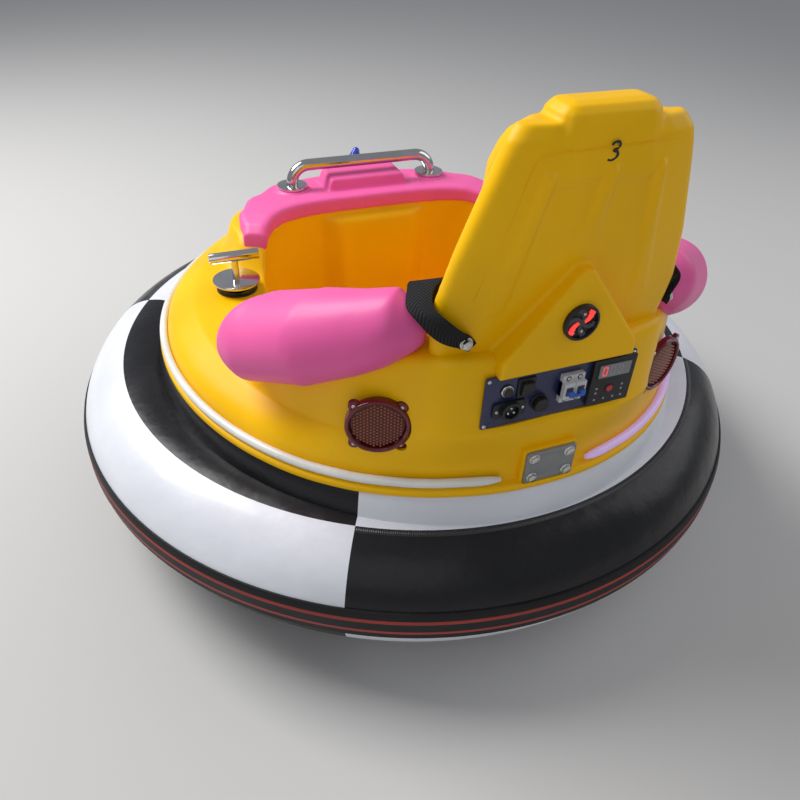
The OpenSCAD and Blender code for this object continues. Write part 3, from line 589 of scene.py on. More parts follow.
def eased(table, a, col, soft=True):
    """A column of a table at a key, eased or straight from row to row."""
    row = 0
    while row < len(table) - 2 and a > table[row + 1][0]:
        row += 1
    low, high = table[row], table[row + 1]
    t = clamp((a - low[0]) / (high[0] - low[0]))
    return lerp(low[col], high[col], t * t * (3 - 2 * t) if soft else t)


def super_r(a, half_w, reach, power):
    """Distance from a superellipse's middle to its edge, in direction a from the right."""
    across, ahead = abs(math.cos(a)) / half_w, abs(math.sin(a)) / reach
    return (across ** power + ahead ** power) ** (-1 / power)


def body_r(a):
    """The body's plan at the light strip."""
    return super_r(a, BODY_HALF, BODY_AHEAD if math.sin(a) > 0 else BODY_BEHIND, 2)


def well_r(a):
    """The plan of the cockpit's opening."""
    return super_r(a, WELL_HALF, WELL_AHEAD if math.sin(a) > 0 else WELL_BEHIND, WELL_POWER)


def from_front(a):
    """Angle away from straight ahead, in degrees."""
    return math.degrees(math.acos(max(-1.0, min(1.0, math.sin(a)))))


def deck_at(a, r):
    """Height of the deck on an azimuth; the front hump's top falls forward."""
    rise = eased(FLANK, from_front(a), 4)
    share = rise / FRONT_RISE if from_front(a) < 90 else 0.0
    return DECK_Z + rise - share * math.tan(HUMP_TILT) * max(0.0, r - well_r(a))


def tube_top(r):
    """Top of the inflated tube at a distance from the ring's middle."""
    return TUBE_Z + math.sqrt(max(0.0, TUBE_R ** 2 - (TUBE_MID_R - r) ** 2))


def tube_below(a, r):
    """Top of the inflated tube under a point of the body's plan."""
    return tube_top(math.hypot(r * math.cos(a), r * math.sin(a) + BODY_Y))


def shell_path(a):
    """Outside of one section of the body, from the lip over the deck into the well."""
    front = from_front(a)
    shelf_in, shelf_up, top_in = (eased(FLANK, front, col) for col in (1, 2, 3))
    swell, belly, lift = (eased(FLANK, front, col) for col in (5, 6, 7))
    w = well_r(a)
    h = deck_at(a, w)
    lip, foot = body_r(a) + LIP_OUT, body_r(a) + LED_OUT
    led = LED_Z + lift
    base = led + LED_D / 2 + 5
    shelf = base + shelf_up - lift
    in1, in2 = shelf_in - swell - belly, top_in - swell
    edge = min(8.0, (in2 - in1) * 0.4)
    slope = min(20.0, (in2 - in1 - edge) * 0.5)
    crest = foot - in2 - 8
    top = deck_at(a, crest)
    step = top - shelf
    ledge = 24.0 * clamp((26 - front) / 3)
    draft = 22 + 24 * max(0.0, -math.sin(a)) ** 2
    low = max(tube_below(a, r) for r in (lip, lip - 6))
    return (
        (lip - 12, low + 0.4), (lip - 12, led - 27), (lip - 2, led - 24), (lip, led - 20),
        (lip, led - 12.5), (lip - 2.5, led - 8.5), (foot, led - 7.5), (foot, base),
        (foot - in1 * 0.3, lerp(base, shelf, 0.45)), (foot - in1, shelf - 6),
        (foot - in1 - edge, shelf), (foot - in2 + slope, shelf + step * 0.06),
        (foot - in2, top - min(6, step * 0.4)), (crest, top), (w + 10, deck_at(a, w + 10)),
        (w + 2, h - 4), (w, h - 12), (w - ledge * 0.2, h - 16), (w - ledge * 0.8, h - 22),
        (w - ledge, h - 34), (w - ledge - draft * 0.4, lerp(h, WELL_FOOT_Z, 0.45)),
        (w - ledge - draft, WELL_FOOT_Z),
    )


def at(x, y, z):
    """A point given in millimetres."""
    return Vector((x, y, z)) * MM


def on_azimuth(a, r, z):
    """A point given by its distance and height on an azimuth of the body's plan."""
    return at(r * math.cos(a), r * math.sin(a) + BODY_Y, z)


def spun_grid(steps, count, place):
    """A ring made by one spin of a flat row of points, each then moved to its place."""
    bm = bmesh.new()
    apart = 0.01
    spin_profile(bm, [(1 + k * apart, 0) for k in range(count)], steps, close=False)
    for vert in bm.verts:
        k = round((vert.co.xy.length - 1) / apart)
        vert.co = place(math.atan2(vert.co.y, vert.co.x), k)
    bm.normal_update()
    if sum(face.normal.z * face.calc_area() for face in bm.faces) < 0:
        bmesh.ops.reverse_faces(bm, faces=bm.faces)
    return bm


def loft(bm, sections):
    """Extrudes a closed outline through like sections and closes both ends."""
    loop = [bm.verts.new(p) for p in sections[0]]
    edges = [bm.edges.new(pair) for pair in zip(loop, loop[1:] + loop[:1])]
    bm.faces.new(loop)
    for section in sections[1:]:
        order = {vert.co.to_tuple(7): k for k, vert in enumerate(loop)}
        made = bmesh.ops.extrude_edge_only(bm, edges=edges)["geom"]
        fresh = [g for g in made if isinstance(g, bmesh.types.BMVert)]
        edges = [g for g in made if isinstance(g, bmesh.types.BMEdge)]
        loop = sorted(fresh, key=lambda vert: order[vert.co.to_tuple(7)])
        for vert, p in zip(loop, section):
            vert.co = p
    bm.faces.new(loop)


def lathe(bm, points, steps, place=Matrix(), index=0):
    """Turns a profile of (radius, height) points in millimetres round a place's own Z."""
    old = set(bm.faces)
    verts = [bm.verts.new(place @ at(r, 0, z)) for r, z in points]
    edges = [bm.edges.new(pair) for pair in zip(verts, verts[1:])]
    axis = place.to_3x3() @ Vector((0, 0, 1))
    bmesh.ops.spin(bm, geom=verts + edges, cent=place.translation, axis=axis, angle=math.tau,
                   steps=steps, use_merge=True)
    paint(bm, old, index)


def paint(bm, old, index):
    """Gives the faces that are new a material number."""
    for face in bm.faces:
        if face not in old:
            face.material_index = index


def soften_top(bm, old, top, up, offset, segments):
    """Bevels the new edges that lie level with a point."""
    rim = [edge for edge in bm.edges if any(face not in old for face in edge.link_faces)
           and all(abs((vert.co - top).dot(up)) < 1e-6 for vert in edge.verts)]
    bmesh.ops.bevel(bm, geom=rim, offset=offset * MM, segments=segments, profile=0.5,
                    affect="EDGES", material=-1)


def block(bm, size, place=Matrix(), round_r=0.0, top=0.0, index=0):
    """A block in millimetres standing on a place, with rounded uprights and a softened top."""
    old = set(bm.faces)
    w, d, h = size
    shape = place @ Matrix.Translation(at(0, 0, h / 2)) @ Matrix.Diagonal((*at(w, d, h), 1))
    made = bmesh.ops.create_cube(bm, size=1.0, matrix=shape)["verts"]
    up = (place.to_3x3() @ Vector((0, 0, 1))).normalized()
    edges = {edge for vert in made for edge in vert.link_edges}
    if round_r:
        sides = [e for e in edges
                 if abs((e.verts[0].co - e.verts[1].co).normalized().dot(up)) > 0.9]
        bmesh.ops.bevel(bm, geom=sides, offset=round_r * MM, segments=5, profile=0.5,
                        affect="EDGES", material=-1)
    if top:
        soften_top(bm, old, place @ at(0, 0, h), up, top, 3)
    paint(bm, old, index)


def hull(bm, points):
    """The tight hull round points given in millimetres."""
    verts = [bm.verts.new(at(*p)) for p in points]
    made = bmesh.ops.convex_hull(bm, input=verts)
    spare = [g for g in made["geom_interior"] if isinstance(g, bmesh.types.BMVert)]
    bmesh.ops.delete(bm, geom=spare, context="VERTS")


def ball(centre, r, rings=6):
    """Points on a ball, for a hull."""
    cx, cy, cz = centre
    return [
        (cx + r * math.cos(b) * math.cos(a), cy + r * math.cos(b) * math.sin(a),
         cz + r * math.sin(b))
        for b in (math.pi * (k / rings - 0.5) for k in range(rings + 1))
        for a in (math.tau * k / (2 * rings) for k in range(2 * rings))
    ]


def apply_modifiers(piece):
    """Puts the result of a piece's modifiers into its mesh."""
    graph = bpy.context.evaluated_depsgraph_get()
    made = bpy.data.meshes.new_from_object(piece.evaluated_get(graph))
    old = piece.data
    piece.modifiers.clear()
    piece.data = made
    made.name = piece.name
    bpy.data.meshes.remove(old)


def add_modifier(piece, kind, **values):
    """Adds a modifier with the given settings."""
    made = piece.modifiers.new(kind.lower(), kind)
    for key, value in values.items():
        setattr(made, key, value)
    return made


def moulded(bm, name, look, voxel, passes, **options):
    """Melts overlapping closed forms into one soft moulding."""
    bmesh.ops.recalc_face_normals(bm, faces=bm.faces)
    piece = make_piece(bm, name, [look], sharp=40, recalc=False, **options)
    add_modifier(piece, "REMESH", mode="VOXEL", voxel_size=voxel, use_smooth_shade=True)
    add_modifier(piece, "SMOOTH", factor=0.5, iterations=passes)
    apply_modifiers(piece)
    return piece


def mirrored(bm):
    """Mirrors everything to the other side of the car."""
    bmesh.ops.scale(bm, vec=(-1, 1, 1), verts=bm.verts)
    bmesh.ops.reverse_faces(bm, faces=bm.faces)


def lamp_place(side):
    """Where a tail lamp sits, its own Z pointing out of the flank."""
    spot = on_azimuth(TAIL_LAMP_TURN, body_r(TAIL_LAMP_TURN) - 14, TAIL_LAMP_Z)
    facing = Matrix.Rotation(TAIL_LAMP_TURN - TAIL_LAMP_TOE, 4, "Z")
    place = Matrix.Translation(spot) @ facing @ Matrix.Rotation(math.pi / 2, 4, "Y")
    return Matrix.Diagonal((side, 1, 1, 1)) @ place


def ear_place(side, k):
    """Where one of a tail lamp's four ears sits."""
    return (lamp_place(side) @ Matrix.Rotation(math.radians(45 + 90 * k), 4, "Z")
            @ Matrix.Translation(at(EAR_R, 0, 0)))


def behind(x, y, z):
    """A place on the back of the car: its own X to the right, Y up and Z to the rear."""
    return Matrix.Translation(at(x, y, z)) @ Matrix.Rotation(math.pi / 2, 4, "X")


def make_body():
    """The moulded body: one soft ring of decks, lip and cockpit well."""
    paths = {}

    def place(a, k):
        key = round(a, 6)
        if key not in paths:
            paths[key] = shell_path(a)
        return on_azimuth(a, *paths[key][k])

    bm = spun_grid(120, 22, place)
    body = make_piece(bm, "moulded_body", ["yellow_moulding"], replaces=["body_shell"],
                      slot="yellow_moulding", sharp=180, recalc=False)
    add_modifier(body, "SUBSURF", levels=2, render_levels=2)
    add_modifier(body, "SOLIDIFY", thickness=5 * MM, offset=-1.0, use_even_offset=False)
    apply_modifiers(body)
    cut_recesses(body)
    bm = bmesh.new()
    block(bm, (92, 64, 14.6), behind(0, REAR_Y + 5.6, PLATE_Z), round_r=5, top=2)
    make_piece(bm, "plate_pad", ["yellow_moulding"], sharp=40)


def cut_recesses(body):
    """Cuts what sits in the body out of it: panel, tail lamps, lever collars and steel plate."""
    cut = bmesh.new()
    block(cut, (246, 90, 24), behind(0, REAR_Y + 3.5, PANEL_Z), round_r=4)
    for side in (-1, 1):
        lathe(cut, [(0, -0.4), (48.6, -0.4), (48.6, 30), (0, 30)], 64, lamp_place(side))
        for k in range(4):
            lathe(cut, [(0, -0.3), (9.6, -0.3), (9.6, 30), (0, 30)], 24, ear_place(side, k))
        lathe(cut, [(0, -30), (36.6, -30), (36.6, 20), (0, 20)], 48,
              Matrix.Translation(at(LEVER_X * side, LEVER_Y, DECK_Z)))
    block(cut, (86, 60, 22), behind(0, REAR_Y - 9, PLATE_Z))
    bmesh.ops.remove_doubles(cut, verts=cut.verts, dist=1e-6)
    bmesh.ops.recalc_face_normals(cut, faces=cut.faces)
    mesh = bpy.data.meshes.new("recesses")
    cut.to_mesh(mesh)
    cut.free()
    cutter = bpy.data.objects.new("recesses", mesh)
    bpy.context.scene.collection.objects.link(cutter)
    add_modifier(body, "BOOLEAN", object=cutter, operation="DIFFERENCE", solver="EXACT",
                 use_self=True)
    apply_modifiers(body)
    bpy.data.objects.remove(cutter)
    body.data.shade_smooth()
    body.data.set_sharp_from_angle(angle=math.radians(38))


# Share of the seat back's height, and how much of its width is left there
SEAT_SHAPE = ((0, 0.9), (0.12, 0.95), (0.18, 1), (0.46, 0.72), (0.85, 0.16), (1, 0))
# Height, taper to the front, share of the lean, inset, front lean, groove
SEAT_ROWS = (
    (590, 39, 0, 0, 0, 0), (605, 39, 0, 0, 0, 0), (641, 50, 0.13, 0, 1, 5),
    (671, 54, 0.23, 0, 2, 6.5), (747, 50, 0.5, 0, 7, 8), (845, 25, 0.8, 0, 14, 8),
    (873, 20, 0.88, 1, 26, 3.5), (889, 19, 0.93, 3, 34, 0), (901, 19, 0.97, 9, 42, 0),
    (907, 21, 1, 13, 43, 0),
)
SEAT_FOOT_HALF, SEAT_TOP_HALF = 190.0, 124.0
SEAT_LEAN, SEAT_BOW, SEAT_DEEP, SEAT_EDGE_R = 36.0, 14.0, 80.0, 18.0
# Across and height of a rib's top, then of its foot
SEAT_RIBS = ((-76, 851, -112, 667), (5, 853, 0, 759), (76, 851, 112, 667))
# Share of a side from rear to front, and how deep the groove is there
GROOVE = ((0.24, 0), (0.34, 0.5), (0.42, 1), (0.52, 1), (0.60, 0.5), (0.70, 0))


def seat_w(z):
    """Half width of the seat back at a height."""
    share = clamp((z - HOUSING_TOP) / (SEAT_TOP - HOUSING_TOP))
    return lerp(SEAT_TOP_HALF, SEAT_FOOT_HALF, eased(SEAT_SHAPE, share, 1, soft=False))


def seat_face_y(x, z):
    """Where the seat's back face lies."""
    w = seat_w(z)
    share = (z - HOUSING_TOP) / (SEAT_TOP - HOUSING_TOP)
    return SEAT_REAR_Y - SEAT_LEAN * share + SEAT_BOW * w / SEAT_FOOT_HALF * (x / w) ** 2


def seat_outline(z, taper, lean, shy, front_lean, groove):
    """One level outline of the seat back, with its bowed back and grooved sides."""
    back = seat_w(z) - shy
    front = back - taper
    bow = SEAT_BOW * back / SEAT_FOOT_HALF
    y0 = SEAT_REAR_Y - lean * SEAT_LEAN + bow + shy
    y1 = SEAT_REAR_Y + SEAT_DEEP - shy - front_lean
    r = SEAT_EDGE_R

    def arc(x, y, first):
        """A rounded edge that starts at an angle."""
        return [Vector((x + r * math.cos(a), y + r * math.sin(a)))
                for a in (math.radians(first + 22 * k) for k in range(5))]

    def side(p, q):
        """A side with its groove."""
        along = q - p
        out = Vector((along.y, -along.x)).normalized()
        return [p + along * share - out * groove * deep for share, deep in GROOVE]

    rear_r, front_r = arc(back - r, y0 + r, -76), arc(front - r, y1 - r, 0)
    front_l, rear_l = arc(r - front, y1 - r, 92), arc(r - back, y0 + r, 168)
    flat = [Vector((x, y0 - bow * (1 - (x / back) ** 2)))
            for x in (k * back / 6 for k in range(-4, 5))]
    points = (rear_r + side(rear_r[4], front_r[0]) + front_r
              + front_l + side(front_l[4], rear_l[0]) + rear_l + flat)
    return [at(p.x, p.y, z) for p in points]


def make_seat():
    """The seat back with its head, ribs and gable, melted into one moulding."""
    bm = bmesh.new()
    loft(bm, [seat_outline(*row) for row in SEAT_ROWS])
    head = []
    for x in (-1, 1):
        for out, up, deep in ((60, -60, 66), (48, -2, 46)):
            for y in (0, deep - 22):
                head += ball((x * out, -541 + y, SEAT_TOP + up), 22)
    hull(bm, head)
    for top_x, high, foot_x, low in SEAT_RIBS:
        rib = ball((top_x, seat_face_y(top_x, high) + 0.5, high), 8)
        rib += ball((top_x, seat_face_y(top_x, high) - 5, high - 4), 4.5)
        for x in (foot_x - 11, foot_x + 11):
            rib += ball((x, seat_face_y(x, low) + 2.5, low), 4)
        hull(bm, rib)
    gable = []
    for y, shy in ((SEAT_REAR_Y + 12, 0), (REAR_Y - 8, 0), (REAR_Y - 12, 4)):
        gable += [(sx * (107 - shy), y, 579 + shy) for sx in (-1, 1)]
        gable += [(sx * (105 - shy), y, 605) for sx in (-1, 1)]
        gable += [(sx * 9, y, 727 - shy) for sx in (-1, 1)]
    hull(bm, gable)
    moulded(bm, "seat_moulding", "yellow_moulding", 0.0028, 5, replaces=["seat_back"],
            slot="yellow_moulding")


# Angle from the front in degrees, and how far the dash pad reaches out from the well
PAD_REACH = ((0, 180), (25, 168), (38, 122), (50, 80), (59, 46))


def pad_section(a):
    """One section of the dash pad."""
    inner = well_r(a) - 4
    outer = well_r(a) + eased(PAD_REACH, from_front(a), 1)
    near, far = deck_at(a, inner) + PAD_T, deck_at(a, outer) + PAD_T
    points = (
        (inner, near - PAD_T - 7), (outer, far - PAD_T - 16), (outer, far - 9),
        (outer - 4, far - 3), (outer - 13, deck_at(a, outer - 13) + PAD_T),
        (inner + 13, deck_at(a, inner + 13) + PAD_T), (inner + 4, near - 3), (inner, near - 9),
    )
    return [on_azimuth(a, r, z) for r, z in points]


def pad_place():
    """The place under the middle of the rail, level with its flanges' feet."""
    return Matrix.Translation(at(0, RAIL_Y, DECK_Z + FRONT_RISE + PAD_T))


def make_dash_pad():
    """The dash pad with the raised block under the rail."""
    bm = bmesh.new()
    loft(bm, [pad_section(math.radians(a)) for a in range(150, 29, -3)])
    place = pad_place()
    points = []
    for w, d, z in ((194, 92, -14), (178, 82, 8), (170, 76, 19), (162, 68, 22)):
        points += [place @ at(x * w / 2, y * d / 2, z) / MM for x in (-1, 1) for y in (-1, 1)]
    hull(bm, points)
    for x in (-FLANGE_X, FLANGE_X):
        lathe(bm, [(0, -20), (38, -20), (37, -1.5), (35.5, 0), (0, 0)], 48,
              place @ Matrix.Translation(at(x, 0, 0)))
    bmesh.ops.remove_doubles(bm, verts=bm.verts, dist=1e-6)
    pad = moulded(bm, "dash_cushion", "pink_pad", 0.0026, 7, replaces=["dash_pad"], slot="pink_pad")


# Share along the arm, then how far its middle lies inside the body's half width, ahead of the rear
# wall and above the deck, and its half width and half height
ARM = (
    (0.00, 134, 361, 79, 62, 56), (0.25, 142, 272, 105, 80, 74), (0.55, 194, 184, 146, 74, 75),
    (0.80, 246, 127, 177, 58, 65), (0.92, 282, 92, 201, 50, 57), (1.00, 318, 68, 208, 42, 50),
)
ARM_STEPS = 44


def arm_point(t):
    """The middle of an arm at a share of its length."""
    inside, ahead, rise = (eased(ARM, t, col) for col in (1, 2, 3))
    return Vector((BODY_HALF - inside, REAR_Y + ahead, DECK_Z + rise))


def arm_section(t, sides=32):
    """One upright section of an arm."""
    ahead = arm_point(min(1, t + 0.02)) - arm_point(max(0, t - 0.02))
    along = ahead.xy.normalized()
    across = Vector((along.y, -along.x, 0))
    front, rear = clamp(1 - t / 0.24), clamp(1 - (1 - t) / 0.12)
    swell = max(0.02, math.sqrt(1 - front * front) * math.sqrt(1 - rear * rear))
    half_w, half_h = eased(ARM, t, 4) * swell, eased(ARM, t, 5) * swell
    points = []
    for k in range(sides):
        b = -math.tau * k / sides
        up = Vector((0, 0, half_h * math.sin(b)))
        points.append(arm_point(t) + half_w * math.cos(b) * across + up)
    return [p * MM for p in points]


def make_arms():
    """The two padded arms."""
    for side, label in SIDES:
        bm = bmesh.new()
        shares = ((1 - math.cos(math.pi * i / ARM_STEPS)) / 2 for i in range(ARM_STEPS + 1))
        loft(bm, [arm_section(t) for t in shares])
        if side < 0:
            mirrored(bm)
        arm = make_piece(bm, "arm_cushion_" + label, ["pink_pad"], sharp=180,
                         replaces=["armrest_" + label], slot="pink_pad")
        add_modifier(arm, "SUBSURF", levels=1, render_levels=1)


# Sections along a light strip, its radius, and the share of it left in the sections at each end
STRIP_STEPS, STRIP_R, STRIP_ENDS = 96, 7.4, {0: 0.55, 1: 0.9}


def make_light_strips():
    """The frosted tubes in the lip, unlit on the left and lit on the right."""
    up = Vector((0, 0, 1))
    for label, first, last, shade in (("left", 262, 96, "white"), ("right", -82, 84, "violet")):
        centres = []
        for i in range(STRIP_STEPS + 1):
            a = math.radians(lerp(first, last, i / STRIP_STEPS))
            z = LED_Z + eased(FLANK, from_front(a), 7) + 0.4
            centres.append(on_azimuth(a, body_r(a) + LED_OUT + LED_D / 2 + 0.4, z))
        sections = []
        for i, centre in enumerate(centres):
            along = (centres[min(STRIP_STEPS, i + 1)] - centres[max(0, i - 1)]).normalized()
            across = along.cross(up).normalized()
            r = STRIP_R * STRIP_ENDS.get(min(i, STRIP_STEPS - i), 1.0) * MM
            sections.append([centre + r * (math.cos(b) * across + math.sin(b) * up)
                             for b in (-math.tau * k / 16 for k in range(16))])
        bm = bmesh.new()
        loft(bm, sections)
        make_piece(bm, "light_strip_" + label, ["strip_" + shade], sharp=60,
                   replaces=["led_strip_" + label], slot="light_strip_" + shade)


# Inset and height of the rubbing strip's ribs, and where its red lines start and end
STRIP_RIBS = ((2.0, -15.5), (0.8, -14.3), (0.8, -9.0), (0.4, -7.8),
              (0.8, 9.0), (0.4, 10.2), (2.0, 15.5), (0.8, 16.7))
RED_FROM, RED_TO = 9.2, 15.4


def make_rub_strip():
    """The rubbing strip: a ribbed rubber band with two red lines."""
    sizes = settings().ring
    outer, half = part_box("rub_strip")[1].x / MM, sizes.strip_h / MM / 2
    points = [(outer - 12, -half), (outer - 5, -half), (outer - 3.8, 1.5 - half)]
    points += [(outer - inset, z) for inset, z in STRIP_RIBS]
    points += [(outer - 3.8, half - 1.5), (outer - 5, half), (outer - 12, half)]
    bm = bmesh.new()
    spin_profile(bm, [(r * MM, (z + TUBE_Z) * MM) for r, z in points], sizes.steps, close=False)
    for face in bm.faces:
        z = abs(face.calc_center_median().z / MM - TUBE_Z)
        face.material_index = 1 if RED_FROM < z < RED_TO else 0
    make_piece(bm, "rubbing_strip", ["strip_rubber", "stripe_red"], replaces=["rub_strip"],
               slot="strip_rubber")


def along_curve(points, steps):
    """Points of a smooth curve through the given ones, with the same number of values each."""
    made = []
    last = len(points) - 1
    for i in range(last):
        p = [points[max(0, min(last, i + k))] for k in (-1, 0, 1, 2)]
        for j in range(steps + (i == last - 1)):
            t = j / steps
            made.append([0.5 * (2 * b + (c - a) * t + (2 * a - 5 * b + 4 * c - d) * t * t
                                + (3 * b - a - 3 * c + d) * t ** 3) for a, b, c, d in zip(*p)])
    return made


def strap(bm, rows, thick, mirror=False):
    """A flat strap along rows of place, half width and its width's direction, in millimetres.

    Its UV map runs across and along it in metres."""
    mids = [Vector(row[:3]) for row in rows]
    sections, marks, run = [], [], 0.0
    for i, row in enumerate(rows):
        along = (mids[min(len(rows) - 1, i + 1)] - mids[max(0, i - 1)]).normalized()
        across = Vector(row[4:7]).normalized()
        out = along.cross(across).normalized()
        if i:
            run += (mids[i] - mids[i - 1]).length
        wide, thin = row[3], thick / 2
        flat = wide - 0.8
        half = ((-wide, -thin * 0.4), (-flat, -thin), (flat, -thin), (wide, -thin * 0.4))
        corners = half + tuple((x, -y) for x, y in reversed(half))
        points = [(mids[i] + across * x + out * y) * MM for x, y in corners]
        if mirror:
            points = [Vector((-q.x, q.y, q.z)) for q in points]
        sections.append(points)
        marks += [(q, (x * MM, run * MM)) for q, (x, _) in zip(points, corners)]
    loft(bm, sections)
    map_faces(bm, bm.faces, marks)


def map_faces(bm, faces, marks):
    """Sets the UV map of faces from pairs of a corner's place and its place on the map."""
    layer = bm.loops.layers.uv.verify()
    where = {place.to_tuple(5): mark for place, mark in marks}
    for face in faces:
        for loop in face.loops:
            loop[layer].uv = where.get(loop.vert.co.to_tuple(5), (0, 0))


# Rows of the belts: outside the seat's foot, ahead of its rear, above the housing, half width,
# and the direction of the width
BELT_STARTS = {
    "left": ((-56, 3.6, 11, 8, 0.7, 0, -0.72), (-45, 2.2, 21, 11, 0.7, 0.05, -0.71),
             (-17, -2.6, 40, 18, 0.69, 0.48, -0.54), (5, 6.5, 62, 22, 0.6, 0.7, -0.3),
             (13, 27, 72, 21, 0.55, 0.75, -0.36)),
    "right": ((-0.8, 21, 14, 8, 0, 1, 0), (-0.8, 21, 30, 9, 0, 1, 0),
              (9, 22, 62, 12, 0.35, 0.93, -0.1)),
}
BELT_OVER = (
    (-1, 58, 79, 19, 0.73, 0.65, -0.2), (-20, 82, 76, 23, 1, 0.1, 0), (-30, 97, 60, 24, 1, 0, 0),
    (-38, 109, 15, 24, 1, 0, 0), (-41, 121, -90, 24, 1, 0, 0), (-44, 149, -255, 24, 1, 0, 0),
)


def make_belts():
    """The webbing belts over the rear ends of the arms."""
    for label, start in BELT_STARTS.items():
        rows = [(SEAT_FOOT_HALF + x, SEAT_REAR_Y + y, HOUSING_TOP + z, *rest)
                for x, y, z, *rest in start + BELT_OVER]
        bm = bmesh.new()
        strap(bm, along_curve(rows, 8), 2.4, mirror=label == "left")
        make_piece(bm, "webbing_belt_" + label, ["webbing"], replaces=["belt_" + label],
                   slot="webbing", sharp=50)


def screw(bm, r, place, index=0):
    """A small domed screw with a socket."""
    lathe(bm, [(0, 0.5 * r), (0.38 * r, 0.42 * r), (0.42 * r, 0.75 * r), (0.75 * r, 0.6 * r),
               (r, 0.2 * r), (r, -0.2 * r)], 16, place, index)


def make_belt_bolts():
    """The bolts that hold the belts' ends."""
    bm = bmesh.new()
    for place in (behind(-145, -531.4, 626), axle_place(190.8, -511, 627)):
        hex_bolt(bm, 6.6, 6, place)
    make_piece(bm, "belt_bolt_heads", ["zinc_steel"], replaces=["belt_bolts"], slot="plate_steel")


def hex_bolt(bm, r, h, place, index=0):
    """A hexagon head on its washer."""
    lathe(bm, [(0, 1.4), (r * 1.35, 1.4), (r * 1.45, 1.0), (r * 1.45, -0.2)], 24, place, index)
    old = set(bm.faces)
    lift = Matrix.Translation(at(0, 0, 1.4 + h / 2))
    corner_r = r * 1.15 * MM
    bmesh.ops.create_cone(bm, cap_ends=True, segments=6, radius1=corner_r, radius2=corner_r,
                          depth=h * MM, matrix=place @ lift)
    up = (place.to_3x3() @ Vector((0, 0, 1))).normalized()
    soften_top(bm, old, place @ at(0, 0, 1.4 + h), up, 0.7, 2)
    paint(bm, old, index)


# Spacing of the honeycomb's cells, and the radius that they fill
CELL_PITCH, CELLS_R = 5.6, 38.4


def honeycomb():
    """Places of the lens's cells, on its own Z and in rows that are offset by half a cell."""
    for row in range(-8, 9):
        for col in range(-8, 9):
            x, y = (col + 0.5 * (row % 2)) * CELL_PITCH, row * CELL_PITCH * 0.866
            r = math.hypot(x, y)
            if r < CELLS_R:
                yield Matrix.Translation(at(x, y, 9 - 2 * (r / 40) ** 2))


def make_tail_lamps():
    """Round tail lamps: a lobed rim, a honeycomb lens and four screws."""
    rim = [(41, 3), (41, 9.6), (42.6, 11.5), (44.6, 12), (46.8, 11.2), (48, 9), (48, 0)]
    lens = [(0, 8.6), (14, 8.4), (28, 7.7), (37, 6.6), (41, 5.4), (41, 3)]
    turned = Matrix.Rotation(math.radians(30), 4, "Z")
    for side, label in SIDES:
        place = lamp_place(side)
        bm = bmesh.new()
        lathe(bm, rim, 72, place)
        for k in range(4):
            ear = ear_place(side, k)
            lathe(bm, [(0, 7), (7.4, 7), (8.6, 6.4), (9, 5.2), (9, 0)], 28, ear)
            screw(bm, 3.2, ear @ Matrix.Translation(at(0.6, 0, 7)), 2)
        lathe(bm, lens, 48, place, 1)
        for spot in honeycomb():
            cell = bmesh.ops.create_cone(
                bm, cap_ends=True, segments=6, radius1=2.6 * MM, radius2=1.5 * MM, depth=2.2 * MM,
                matrix=place @ spot @ turned)
            for vert in cell["verts"]:
                for face in vert.link_faces:
                    face.material_index = 3
        make_piece(bm, "tail_lamp_set_" + label, ["red_rim", "red_lens", "zinc_steel", "lens_cell"],
                   replaces=["tail_lamp_" + label], slot="red_lens")


# Place, foot, height, lean and tip of the front lamp's cone
CONE_Y, CONE_R, CONE_H, CONE_LEAN, CONE_TIP_R = 378.0, 26.0, 52.0, 12.0, 8.0


def make_front_lamp():
    """The small leaning cone of blue plastic ahead of the rail."""
    foot = deck_at(math.pi / 2, CONE_Y - BODY_Y) + PAD_T - 1
    bm = bmesh.new()
    points = [(CONE_R * math.cos(a), CONE_Y + CONE_R * math.sin(a), z) for z in (foot, foot + 6)
              for a in (math.tau * k / 48 for k in range(48))]
    hull(bm, points + ball((CONE_LEAN, CONE_Y, foot + CONE_H), CONE_TIP_R, rings=10))
    make_piece(bm, "front_lamp_cone", ["blue_lens"], replaces=["front_lamp"], slot="blue_lens")


def make_back_light():
    """The round light on the gable: a dish with six blades, two of them lit."""
    bm = bmesh.new()
    place = behind(0, REAR_Y - 12, GABLE_LIGHT_Z)
    dish = [(26.5, 0), (26.5, 5), (25.6, 6.6), (23.6, 7.2), (22.6, 6.4), (22.2, 2.2), (0, 2.2)]
    lathe(bm, dish, 64, place)
    for k in range(6):
        turn = math.radians(28 + 60 * k)
        lit = k % 3 == 0
        for part in range(4):
            r = 6.5 + part * 4.2
            swing = turn + math.radians((part - 1.5) * 11)
            spot = (place @ Matrix.Rotation(swing, 4, "Z") @ Matrix.Translation(at(r, 0, 2.2))
                    @ Matrix.Rotation(math.radians(16), 4, "Z"))
            block(bm, (5.4, 4.2 + part * 1.5, 2.4), spot, round_r=1.0, top=0.5,
                  index=1 if lit else 2)
    lathe(bm, [(0, 5.4), (3.2, 5.2), (4.4, 4.2), (4.4, 2)], 20, place, 2)
    for y in (-13, 13):
        screw(bm, 2.6, place @ Matrix.Translation(at(2, y, 3.6)), 3)
    make_piece(bm, "gable_light", ["black_plastic", "lamp_red", "grey_plastic", "zinc_steel"],
               replaces=["back_light"], slot="black_plastic")


# Across and height of each item on the equipment panel, from the panel's middle
INLET, BUTTON, ROCKER = (-81, -14), (-88, 18), (-58, 18)
CAP, BREAKER, DISPLAY = (-33, -14), (15, 4), (84, 0)


def on_panel(place, x=0.0, z=0.0, out=0.0):
    """A place on the equipment panel's face, counted from one of its items."""
    return behind(place[0] + x, REAR_Y + 0.5 - out, PANEL_Z + place[1] + z)


